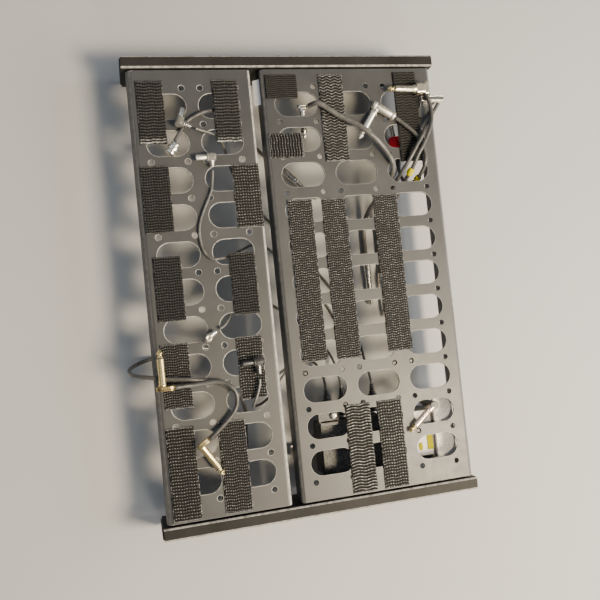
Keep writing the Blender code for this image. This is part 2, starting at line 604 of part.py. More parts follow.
def barrel_plug(name, corner, out, along, barrel_long, relief_long):
    """A right-angle DC plug: round body and barrel along out, ribbed sleeve along the cord."""
    corner = Vector(corner)
    out = Vector(out).normalized()
    along = Vector(along).normalized()
    tip = DC_BODY_LONG + barrel_long
    body = [
        (0.0, 0.0), (0.0, 3.2), (1.0, DC_BODY_R), (DC_BODY_LONG - 1.0, DC_BODY_R), (DC_BODY_LONG, 3.4),
        (DC_BODY_LONG, BARREL_R), (tip, BARREL_R), (tip, 0.0),
    ]
    rib = (relief_long - 2.0) / DC_RIBS
    sleeve = [(0.0, 0.0), (0.0, 2.8), (DC_NECK, 2.8)]
    for number in range(DC_RIBS):
        start = DC_NECK + number * rib
        crest = 2.7 - 0.25 * number
        sleeve += [(start + 0.3, 2.0), (start + 0.45 * rib, 2.0)]
        sleeve += [(start + 0.5 * rib, crest), (start + rib, crest)]
    sleeve += [(DC_NECK + DC_RIBS * rib, 0.0)]
    fused(name, [turned(corner - out * DC_BODY_BACK, out, body), turned(corner, along, sleeve)], PLUG_BLACK)


def drop_pin(start, collar_r, collar_long, pin_r, long):
    """A pin that hangs down from a head."""
    profile = [(0.0, 0.0), (0.0, collar_r), (collar_long, collar_r), (collar_long, pin_r)]
    profile += [(long - 5.0, pin_r), (long, 0.8), (long, 0.0)]
    return turned(start, (0.0, 0.0, -1.0), profile)


def side_pin(start, towards):
    """A pin that leaves a round handle at a right angle."""
    profile = [(0.0, 0.0), (0.0, 3.6), (6.0, 3.6), (6.0, PIN_R), (28.0, PIN_R), (30.0, 1.9), (31.5, 2.9),
               (35.5, 0.8), (35.5, 0.0)]
    return turned(start, towards, profile)


def plugs():
    for name, sizes in DC_PLUGS.items():
        barrel_plug(name, *sizes)
    for name, sizes in FLAT_PLUGS.items():
        flat_plug(name, *sizes)

    head = block((-130.0, -112.8, 56.4), (0.0, 0.0, 1.0), (0.78, -0.62, 0.0), (12.0, 11.0, 9.0))
    pin = drop_pin((-130.0, -112.8, 57.4), 4.1, 5.0, PIN_R, 35.0)
    fused("patch_plug_1", [head, pin], SILVER)

    handle = [(0.0, 0.0), (0.0, 3.6), (1.0, 4.2), (23.5, 4.2), (25.5, 2.8), (25.5, 0.0)]
    body = turned((-167.0, 82.6, 61.1), (0.53, 0.85, 0.0), handle)
    fused("patch_plug_5", [body, side_pin((-163.0, 85.8, 60.0), (0.82, -0.57, 0.0))], SILVER)

    handle = [(0.0, 0.0), (0.0, 3.0), (1.5, 4.2), (23.0, 4.2), (24.0, 3.4), (24.0, 0.0)]
    body = turned((130.0, 113.0, 37.6), (0.0, 0.0, 1.0), handle)
    fused("patch_plug_6", [body, side_pin((130.0, 113.0, 59.4), (0.64, -0.77, 0.0))], GOLD)

    head = block((-174.0, 146.4, 59.3), (1.0, 0.0, 0.0), (0.0, 1.0, 0.0), (25.0, 5.0, 5.0))
    pin = drop_pin((-171.5, 155.0, 61.0), THIN_PIN_R, 8.0, THIN_PIN_R, 34.0)
    fused("patch_plug_7", [head, pin], SILVER)


# Cords

def smooth_route(points, spacing):
    """Points an even distance apart on a smooth curve through the route."""
    points = [Vector(point) for point in points]
    ends = [2 * points[0] - points[1]] + points + [2 * points[-1] - points[-2]]
    fine = []
    for before, start, finish, after in zip(ends, ends[1:], ends[2:], ends[3:]):
        for step in range(12):
            t = step / 12
            fine.append(
                0.5 * (
                    2 * start + (finish - before) * t + (2 * before - 5 * start + 4 * finish - after) * t * t
                    + (3 * start - before - 3 * finish + after) * t * t * t
                )
            )
    fine.append(points[-1])
    total = sum((b - a).length for a, b in zip(fine, fine[1:]))
    count = max(2, round(total / spacing))
    evened = [fine[0]]
    walked = 0.0
    for start, finish in zip(fine, fine[1:]):
        piece = (finish - start).length
        while len(evened) < count and walked + piece >= total * len(evened) / count:
            share = (total * len(evened) / count - walked) / piece
            evened.append(start.lerp(finish, share))
        walked += piece
    evened.append(fine[-1])
    return evened


def cords():
    for name, route in ROUTES.items():
        diameter = CORD_SIZES.get(name, LEAD_D)
        points = smooth_route(route, 3.0 * diameter)
        curve = bpy.data.curves.new(name, "CURVE")
        curve.dimensions = "3D"
        curve.bevel_depth = diameter / 2 * MM
        curve.bevel_resolution = 2
        curve.use_fill_caps = True
        spline = curve.splines.new("POLY")
        spline.points.add(len(points) - 1)
        for spot, point in zip(spline.points, points):
            spot.co = (*(point * MM), 1.0)
        curve.materials.append(material(name, *CORD_BLACK))
        made = bpy.data.objects.new(name, curve)
        bpy.context.scene.collection.objects.link(made)


for old in list(bpy.data.objects):
    bpy.data.objects.remove(old)

deck("front_deck", FRONT_DECK, FRONT_BEND, REAR_BEND, FLANGE, FRONT_SLOTS, FRONT_SLOT, FRONT_HOLES)
rear = deck("rear_deck", REAR_DECK, REAR_BEND, REAR_BEND, REAR_FLANGE, REAR_SLOTS, REAR_SLOT, REAR_HOLES)
trim_flanges(rear, REAR_DECK, REAR_FLANGE)
rail("left_rail", -1)
rail("right_rail", 1)
rail_caps()
feet()
tapes()
supply_case()
supply_covers()
supply_strap()
mains_inlet()
voltage_selector()
plugs()
cords()
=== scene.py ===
"""Looks of the pedalboard: two slotted sheet decks between box end rails, hook tape, a power supply
under the rear deck, its DC leads and the patch cords.

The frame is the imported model's, in metres; sizes below are in millimetres and turned into metres by MM."""

import json
import math

import bmesh
import bpy
import numpy as np
from mathutils import Matrix, Vector

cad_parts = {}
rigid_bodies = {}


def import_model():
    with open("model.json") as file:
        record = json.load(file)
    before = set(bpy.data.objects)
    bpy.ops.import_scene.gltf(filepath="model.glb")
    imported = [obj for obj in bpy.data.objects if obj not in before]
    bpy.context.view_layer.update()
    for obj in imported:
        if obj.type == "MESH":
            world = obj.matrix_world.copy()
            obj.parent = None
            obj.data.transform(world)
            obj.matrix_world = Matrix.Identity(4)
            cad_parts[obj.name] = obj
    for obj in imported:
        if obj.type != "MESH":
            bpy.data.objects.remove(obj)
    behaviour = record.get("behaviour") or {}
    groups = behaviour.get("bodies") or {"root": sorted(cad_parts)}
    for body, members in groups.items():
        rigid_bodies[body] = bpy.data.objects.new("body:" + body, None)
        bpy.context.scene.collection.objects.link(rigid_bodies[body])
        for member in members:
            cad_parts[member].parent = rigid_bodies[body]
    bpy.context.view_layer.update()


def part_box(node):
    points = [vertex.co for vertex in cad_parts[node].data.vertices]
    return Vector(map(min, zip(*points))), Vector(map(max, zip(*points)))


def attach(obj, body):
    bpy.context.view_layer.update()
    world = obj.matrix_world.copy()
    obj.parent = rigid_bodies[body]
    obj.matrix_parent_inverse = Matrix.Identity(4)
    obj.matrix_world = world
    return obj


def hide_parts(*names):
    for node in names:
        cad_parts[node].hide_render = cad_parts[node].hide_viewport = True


for old in list(bpy.data.objects):
    bpy.data.objects.remove(old)

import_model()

MM = 0.001
BOARD = "board"


def node_box(name):
    """A CAD node's limits as three (low, high) pairs, in millimetres."""
    low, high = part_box(name)
    return [(low[axis] / MM, high[axis] / MM) for axis in range(3)]


# Camera

camera = bpy.data.objects.new("camera", bpy.data.cameras.new("camera"))
bpy.context.scene.collection.objects.link(camera)
CAMERA_AT = Vector((0.03827, -0.16095, 0.6683))
CAMERA_RIGHT = Vector((0.1006, 0.9663, 0.2371))
CAMERA_UP = Vector((-0.9943, 0.0894, 0.0579))
CAMERA_BACK = Vector((0.0347, -0.2415, 0.9698))
turn = Matrix((CAMERA_RIGHT, CAMERA_UP, CAMERA_BACK)).transposed().to_quaternion()
camera.matrix_world = Matrix.Translation(CAMERA_AT) @ turn.to_matrix().to_4x4()
camera.data.lens = 40.37
camera.data.sensor_width = 36.0
camera.data.clip_start = 0.01
bpy.context.scene.camera = camera


# Materials

class Graph:
    """A Principled material and short ways to add nodes to it. Coordinates are metres on the object."""

    def __init__(self, name, roughness, metallic=0.0, **sockets):
        self.material = bpy.data.materials.new(name)
        self.material.use_nodes = True
        self.tree = self.material.node_tree
        self.shader = self.tree.nodes["Principled BSDF"]
        self.shader.inputs["Roughness"].default_value = roughness
        self.shader.inputs["Metallic"].default_value = metallic
        for socket, value in sockets.items():
            self.shader.inputs[socket.replace("_", " ")].default_value = value
        self.place = self.tree.nodes.new("ShaderNodeTexCoord").outputs["Object"]

    def link(self, source, target):
        self.tree.links.new(source, target)

    def noise(self, scale, detail, roughness=0.55, stretch=None):
        node = self.tree.nodes.new("ShaderNodeTexNoise")
        node.inputs["Scale"].default_value = scale
        node.inputs["Detail"].default_value = detail
        node.inputs["Roughness"].default_value = roughness
        if stretch:
            mapping = self.tree.nodes.new("ShaderNodeMapping")
            mapping.inputs["Scale"].default_value = stretch
            self.link(self.place, mapping.inputs["Vector"])
            self.link(mapping.outputs["Vector"], node.inputs["Vector"])
        else:
            self.link(self.place, node.inputs["Vector"])
        return node.outputs["Fac"]

    def span(self, value, low, high, start=0.0, finish=1.0):
        node = self.tree.nodes.new("ShaderNodeMapRange")
        limits = {"From Min": low, "From Max": high, "To Min": start, "To Max": finish}
        for socket, limit in limits.items():
            node.inputs[socket].default_value = limit
        self.link(value, node.inputs["Value"])
        return node.outputs["Result"]

    def mix(self, factor, first, second):
        node = self.tree.nodes.new("ShaderNodeMix")
        node.data_type = "RGBA"
        for socket, value in ((node.inputs["A"], first), (node.inputs["B"], second)):
            if isinstance(value, tuple):
                socket.default_value = (*value, 1.0)
            else:
                self.link(value, socket)
        self.link(factor, node.inputs["Factor"])
        return node.outputs["Result"]

    def times(self, first, second):
        node = self.tree.nodes.new("ShaderNodeMath")
        node.operation = "MULTIPLY"
        self.link(first, node.inputs[0])
        if isinstance(second, float):
            node.inputs[1].default_value = second
        else:
            self.link(second, node.inputs[1])
        return node.outputs["Value"]

    def attribute(self, name):
        node = self.tree.nodes.new("ShaderNodeAttribute")
        node.attribute_name = name
        return node.outputs["Fac"]

    def colour(self, value):
        self.link(value, self.shader.inputs["Base Color"])

    def rough(self, value):
        self.link(value, self.shader.inputs["Roughness"])

    def bump(self, height, strength, distance_mm):
        node = self.tree.nodes.new("ShaderNodeBump")
        node.inputs["Strength"].default_value = strength
        node.inputs["Distance"].default_value = distance_mm * MM
        self.link(height, node.inputs["Height"])
        self.link(node.outputs["Normal"], self.shader.inputs["Normal"])


DUST = (0.16, 0.15, 0.14)
RUBBED = (0.11, 0.105, 0.10)
# Pale edge colour: partly worn coat, partly painted highlight.
BARE_EDGE_AND_HIGHLIGHT = (0.42, 0.405, 0.38)


def powder_coat(name, dark, pale, roughness, **sockets):
    """Satin powder coat: orange-peel skin, faint patches, dust specks, rubbed spots and pale edges, which
    are partly worn coat and partly painted highlight.
    """
    made = Graph(name, roughness, **sockets)
    body = made.mix(made.span(made.noise(22.0, 5.0), 0.35, 0.68), dark, pale)
    dusty = made.mix(made.span(made.noise(1300.0, 2.0), 0.70, 0.78), body, DUST)
    scuffs = made.span(made.noise(60.0, 6.0, 0.7, (1.0, 7.0, 1.0)), 0.68, 0.8)
    rubbed = made.mix(made.times(scuffs, 0.35), dusty, RUBBED)
    # Pale where the worn attribute marks a face: partly worn coat, partly painted highlight on rims, bends
    # and the hem.
    wear = made.times(made.attribute("worn"), made.span(made.noise(260.0, 3.0), 0.3, 0.6, 0.35, 1.0))
    made.colour(made.mix(wear, rubbed, BARE_EDGE_AND_HIGHLIGHT))
    made.rough(made.span(made.noise(90.0, 6.0, 0.65), 0.3, 0.7, roughness - 0.03, roughness + 0.04))
    made.bump(made.noise(1100.0, 2.0), 0.16, 0.12)
    return made.material


def plastic(name, dark, pale, roughness=0.45, grain=2200.0, bump=0.12, **sockets):
    """Moulded plastic with a fine grain and handling marks."""
    made = Graph(name, roughness, **sockets)
    made.colour(made.mix(made.span(made.noise(140.0, 5.0), 0.35, 0.7), dark, pale))
    made.rough(made.span(made.noise(320.0, 4.0), 0.3, 0.7, roughness - 0.1, roughness + 0.12))
    made.bump(made.noise(grain, 3.0), bump, 0.08)
    return made.material


def plated(name, bright, worn, roughness, wear=0.62):
    """Plated metal: fine turning marks, tarnish patches and hairline scratches."""
    made = Graph(name, roughness, 1.0)
    tarnish = made.span(made.noise(260.0, 6.0, 0.65), wear - 0.12, wear + 0.12)
    made.colour(made.mix(tarnish, bright, worn))
    marks = made.noise(700.0, 5.0, 0.7, (1.0, 5.0, 1.0))
    made.rough(made.span(marks, 0.25, 0.75, roughness - 0.08, roughness + 0.16))
    made.bump(made.noise(2600.0, 3.0, 0.6, (1.0, 6.0, 3.0)), 0.06, 0.02)
    return made.material


def hook_nylon(name, dark, pale, tip_highlight):
    """Woven hook tape: matt nylon with painted shade in the valleys between its ridges, painted highlights
    on its hook tips, and pale cut ends that are partly frayed fibre and partly painted glint.
    """
    made = Graph(name, 0.5, Specular_IOR_Level=0.16)
    fibre = made.noise(1700.0, 4.0, 0.7)
    height = made.attribute("rise")
    # Painted shade: the valleys between the ridges are darkened.
    valley_shade = tuple(0.3 * part for part in dark)
    # Pale colour of the cut ends: partly frayed fibre, partly painted glint.
    cut_end_and_glint = tuple(min(1.0, 1.9 * part) for part in tip_highlight)
    body = made.mix(made.span(made.noise(420.0, 4.0), 0.35, 0.7), dark, pale)
    shaded = made.mix(made.span(height, 0.22, 0.66), valley_shade, body)
    # Painted highlight on the hook tips, by height and the glint attribute.
    tips = made.times(made.attribute("glint"), made.span(height, 0.6, 0.86))
    flecks = made.span(made.noise(1100.0, 2.0), 0.3, 0.6, 0.45, 1.0)
    tipped = made.mix(made.times(tips, flecks), shaded, tip_highlight)
    made.colour(made.mix(made.attribute("fray_and_glint"), tipped, cut_end_and_glint))
    made.rough(made.span(fibre, 0.3, 0.7, 0.38, 0.7))
    made.bump(fibre, 0.5, 0.25)
    return made.material


def cord_skin(name, dark, pale, roughness):
    """Extruded cord jacket: smooth, slightly dusty, with faint drawing lines."""
    made = Graph(name, roughness)
    made.colour(made.mix(made.span(made.noise(180.0, 5.0), 0.4, 0.72), dark, pale))
    made.rough(made.span(made.noise(520.0, 4.0), 0.3, 0.7, roughness - 0.08, roughness + 0.14))
    made.bump(made.noise(2400.0, 2.0), 0.1, 0.06)
    return made.material


def crackle_paint(name, dark, pale, roughness):
    """Crackle-painted or cast metal with coarse bright specks."""
    made = Graph(name, roughness)
    made.colour(made.mix(made.span(made.noise(620.0, 3.0, 0.6), 0.42, 0.62), dark, pale))
    made.rough(made.span(made.noise(420.0, 4.0), 0.3, 0.7, roughness - 0.08, roughness + 0.12))
    made.bump(made.noise(760.0, 3.0), 0.35, 0.18)
    return made.material


DECK = powder_coat("deck_powder_coat", (0.043, 0.0435, 0.044), (0.057, 0.0575, 0.058), 0.42)
RAIL = powder_coat("rail_powder_coat", (0.020, 0.019, 0.018), (0.030, 0.029, 0.027), 0.44,
                   Specular_IOR_Level=0.08)
CAP = plastic("cap_plastic", (0.018, 0.018, 0.018), (0.030, 0.030, 0.029))
RUBBER = plastic("foot_rubber", (0.014, 0.014, 0.014), (0.030, 0.029, 0.028), 0.78, 900.0, 0.3)
# One hook nylon in four looks. Their tip colours are painted highlight, strongest on the tapes that catch
# most light. Their bodies also differ a little in tone.
TAPE = hook_nylon("hook_tape", (0.022, 0.022, 0.0215), (0.036, 0.0355, 0.034), (0.26, 0.26, 0.25))
TAPE_WARM = hook_nylon("hook_tape_warm", (0.028, 0.0275, 0.0265), (0.047, 0.046, 0.044), (0.58, 0.57, 0.54))
TAPE_DARK = hook_nylon("hook_tape_dark", (0.014, 0.0135, 0.013), (0.024, 0.023, 0.021), (0.08, 0.076, 0.070))
TAPE_HIGHLIT = hook_nylon("hook_tape_highlit", (0.029, 0.028, 0.026), (0.050, 0.048, 0.044),
                         (0.80, 0.79, 0.75))
JACKET = cord_skin("patch_cord_jacket", (0.056, 0.054, 0.051), (0.092, 0.089, 0.084), 0.30)
DARK_JACKET = cord_skin("thick_cord_jacket", (0.095, 0.091, 0.085), (0.145, 0.139, 0.130), 0.32)
LEAD_JACKET = cord_skin("dc_lead_jacket", (0.085, 0.082, 0.077), (0.15, 0.145, 0.136), 0.26)
SLEEVE = plastic("plug_sleeve", (0.026, 0.025, 0.024), (0.048, 0.046, 0.044), 0.38)
ELBOW = plastic("plug_elbow", (0.13, 0.125, 0.112), (0.22, 0.21, 0.19), 0.30)
SILVER = plated("nickel_plate", (0.93, 0.88, 0.78), (0.58, 0.54, 0.46), 0.20)
WHITE_METAL = plated("bright_nickel_plate", (1.0, 0.94, 0.80), (0.86, 0.79, 0.64), 0.30, 0.7)
DARK_METAL = plated("dark_nickel_plate", (0.42, 0.41, 0.38), (0.24, 0.23, 0.21), 0.26)
GOLD = plated("gold_plate", (1.0, 0.79, 0.38), (0.86, 0.64, 0.28), 0.22, 0.66)
OLD_GOLD = plated("worn_gold_plate", (0.60, 0.45, 0.22), (0.36, 0.26, 0.12), 0.30, 0.5)
CREAM_GOLD = plated("pale_gold_plate", (1.0, 0.90, 0.68), (0.80, 0.66, 0.42), 0.26)
COPPER = plated("copper_plate", (0.95, 0.76, 0.62), (0.70, 0.48, 0.34), 0.22)
BLACK = plastic("insulator_black", (0.012, 0.012, 0.012), (0.022, 0.022, 0.021), 0.4)
STEEL = plated("screw_steel", (0.46, 0.45, 0.43), (0.27, 0.26, 0.25), 0.34)
BLACK_STEEL = plated("black_screw_steel", (0.10, 0.10, 0.098), (0.055, 0.054, 0.052), 0.38)
CASE = crackle_paint("supply_crackle_paint", (0.022, 0.022, 0.022), (0.085, 0.083, 0.08), 0.5)
LIGHT_CASE = crackle_paint("supply_light_metal", (0.66, 0.64, 0.60), (0.92, 0.90, 0.86), 0.6)
GREY_COVER = plastic("supply_grey_cover", (0.40, 0.39, 0.39), (0.50, 0.49, 0.48), 0.42)
YELLOW = plastic("yellow_plastic", (0.50, 0.43, 0.0), (0.62, 0.54, 0.0), 0.6, Specular_IOR_Level=0.04)
SUPPLY_YELLOW = plastic("supply_yellow_plastic", (0.27, 0.245, 0.0), (0.34, 0.31, 0.0), 0.8,
                        Specular_IOR_Level=0.0)
RED = plastic("red_plastic", (0.92, 0.008, 0.03), (1.0, 0.02, 0.06), 0.4, Specular_IOR_Level=0.3)
STICKER = plastic("blank_sticker", (0.80, 0.79, 0.82), (0.90, 0.89, 0.91), 0.5)
BRACKET = plated("strap_zinc_plate", (0.58, 0.57, 0.55), (0.38, 0.37, 0.35), 0.36)
EAR = crackle_paint("supply_ear_paint", (0.07, 0.067, 0.063), (0.11, 0.106, 0.10), 0.5)


# Mesh helpers

ALONG_X = Matrix(((0, 0, 1, 0), (1, 0, 0, 0), (0, 1, 0, 0), (0, 0, 0, 1)))
ALONG_Y = Matrix(((1, 0, 0, 0), (0, 0, 1, 0), (0, 1, 0, 0), (0, 0, 0, 1)))
ALONG_Z = Matrix.Identity(4)


def put(name, mesh, look, slot, replaces=(), body=BOARD):
    made = bpy.data.objects.new(name, mesh)
    bpy.context.scene.collection.objects.link(made)
    mesh.materials.clear()
    mesh.materials.append(look)
    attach(made, body)
    if replaces:
        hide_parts(*replaces)
    return made


def smooth(mesh):
    mesh.polygons.foreach_set("use_smooth", [True] * len(mesh.polygons))


def mesh_of(name, bm, sharp_deg=38.0):
    bmesh.ops.recalc_face_normals(bm, faces=bm.faces)
    mesh = bpy.data.meshes.new(name)
    bm.to_mesh(mesh)
    bm.free()
    smooth(mesh)
    if sharp_deg:
        mesh.set_sharp_from_angle(angle=math.radians(sharp_deg))
    return mesh


def round_edges(made, width, segments):
    """Rounds an object's sharp edges by width millimetres."""
    rounding = made.modifiers.new("rounding", "BEVEL")
    rounding.width = width * MM
    rounding.segments = segments
    rounding.limit_method = "ANGLE"
    rounding.angle_limit = math.radians(40.0)
    made.modifiers.new("normals", "WEIGHTED_NORMAL").keep_sharp = True


def edged_mesh(name, mesh, look, width, segments=3, **options):
    smooth(mesh)
    made = put(name, mesh, look, **options)
    round_edges(made, width, segments)
    return made


def edged_piece(name, bm, look, width, segments=3, **options):
    return edged_mesh(name, mesh_of(name, bm, sharp_deg=None), look, width, segments, **options)


def baked(made):
    """The object's mesh with its modifiers applied."""
    graph = bpy.context.evaluated_depsgraph_get()
    return bpy.data.meshes.new_from_object(made.evaluated_get(graph), depsgraph=graph)


def carved(name, body, cutters):
    """The mesh of body less each of cutters, all bmeshes."""
    scene = bpy.context.scene.collection.objects
    target = bpy.data.objects.new(name, mesh_of(name, body, sharp_deg=None))
    scene.link(target)
    temporary = [target]
    for number, cutter in enumerate(cutters):
        helper_name = f"{name}_cut_{number}"
        helper = bpy.data.objects.new(helper_name, mesh_of(helper_name, cutter, sharp_deg=None))
        scene.link(helper)
        step = target.modifiers.new(helper_name, "BOOLEAN")
        step.operation = "DIFFERENCE"
        step.solver = "EXACT"
        step.object = helper
        temporary.append(helper)
    mesh = baked(target)
    for helper in temporary:
        bpy.data.objects.remove(helper)
    mesh.name = name
    return mesh


def carved_piece(name, solid, cutters, look, width, segments=3, **options):
    edged_mesh(name, carved(name, solid, cutters), look, width, segments, **options)


def facing(start, towards, across=None):
    """A matrix at start, in millimetres, with local Z along towards and local X nearest to across."""
    z_axis = Vector(towards).normalized()
    if across is None:
        across = (0.0, 0.0, 1.0) if abs(z_axis.z) < 0.9 else (1.0, 0.0, 0.0)
    x_axis = (Vector(across) - Vector(across).dot(z_axis) * z_axis).normalized()
    turned = Matrix((x_axis, z_axis.cross(x_axis), z_axis)).transposed().to_4x4()
    return Matrix.Translation(Vector(start) * MM) @ turned


def lathe(bm, place, profile, sides=40):
    """Adds a round body: profile lists (distance along the axis, radius) and starts and ends on the axis."""
    rings = []
    for along, radius in profile:
        if radius == 0.0:
            rings.append([bm.verts.new(place @ Vector((0.0, 0.0, along * MM)))] * sides)
            continue
        ring = []
        for step in range(sides):
            angle = 2 * math.pi * step / sides
            point = Vector((radius * math.cos(angle), radius * math.sin(angle), along))
            ring.append(bm.verts.new(place @ (point * MM)))
        rings.append(ring)
    for ring, following in zip(rings, rings[1:]):
        for step in range(sides):
            after = (step + 1) % sides
            corners = list(dict.fromkeys([ring[step], ring[after], following[after], following[step]]))
            if len(corners) > 2:
                bm.faces.new(corners)


def softened(profile, radius):
    """The profile with each of its corners off the axis rounded a little."""
    points = [Vector(point) for point in profile]
    out = [tuple(points[0])]
    for before, corner, after in zip(points, points[1:], points[2:]):
        back, on = before - corner, after - corner
        reach = min(radius, 0.45 * back.length, 0.45 * on.length)
        if reach < 0.02 or corner.y == 0.0:
            out.append(tuple(corner))
            continue
        first, last = corner + back.normalized() * reach, corner + on.normalized() * reach
        middle = (first + last + 2 * corner) / 4
        out += [tuple(first), tuple(middle), tuple(last)]
    return out + [tuple(points[-1])]


def lathe_piece(name, start, towards, profile, look, sides=40, round_by=0.25, **options):
    """A round piece whose profile's corners are rounded by round_by millimetres."""
    bm = bmesh.new()
    lathe(bm, facing(start, towards), softened(profile, round_by), sides)
    return put(name, mesh_of(name, bm), look, **options)


def rod(radius, long):
    """Profile of a plain cylinder that starts at the origin."""
    return [(0, 0), (0, radius), (long, radius), (long, 0)]


def prism(bm, outline, low, high, place=ALONG_Z):
    """Adds a closed outline in the local XY plane, drawn out along local Z from low to high."""
    lower = [bm.verts.new(place @ (Vector((x, y, low)) * MM)) for x, y in outline]
    upper = [bm.verts.new(place @ (Vector((x, y, high)) * MM)) for x, y in outline]
    bm.faces.new(lower)
    bm.faces.new(upper)
    for first, second, third, fourth in zip(lower, lower[1:] + lower[:1], upper[1:] + upper[:1], upper):
        bm.faces.new((first, second, third, fourth))


def prism_bm(outline, low, high, place=ALONG_Z):
    bm = bmesh.new()
    prism(bm, outline, low, high, place)
    return bm


def prism_piece(name, outline, low, high, look, width, segments=3, place=ALONG_Z, **options):
    return edged_piece(name, prism_bm(outline, low, high, place), look, width, segments, **options)


def arc(centre_x, centre_y, radius, from_deg, to_deg, steps):
    found = []
    for step in range(steps + 1):
        angle = math.radians(from_deg + (to_deg - from_deg) * step / steps)
        found.append((centre_x + radius * math.cos(angle), centre_y + radius * math.sin(angle)))
    return found


def round_rectangle(x, y, radius, steps=6):
    """Outline of a rectangle between two pairs of limits with rounded corners."""
    return (
        arc(x[1] - radius, y[1] - radius, radius, 0, 90, steps)
        + arc(x[0] + radius, y[1] - radius, radius, 90, 180, steps)
        + arc(x[0] + radius, y[0] + radius, radius, 180, 270, steps)
        + arc(x[1] - radius, y[0] + radius, radius, 270, 360, steps)
    )


def rectangle(x, y):
    return [(x[0], y[0]), (x[1], y[0]), (x[1], y[1]), (x[0], y[1])]


def shrunk(span, margin):
    return (span[0] + margin, span[1] - margin)


# Cords, whose routes are the CAD's, in millimetres

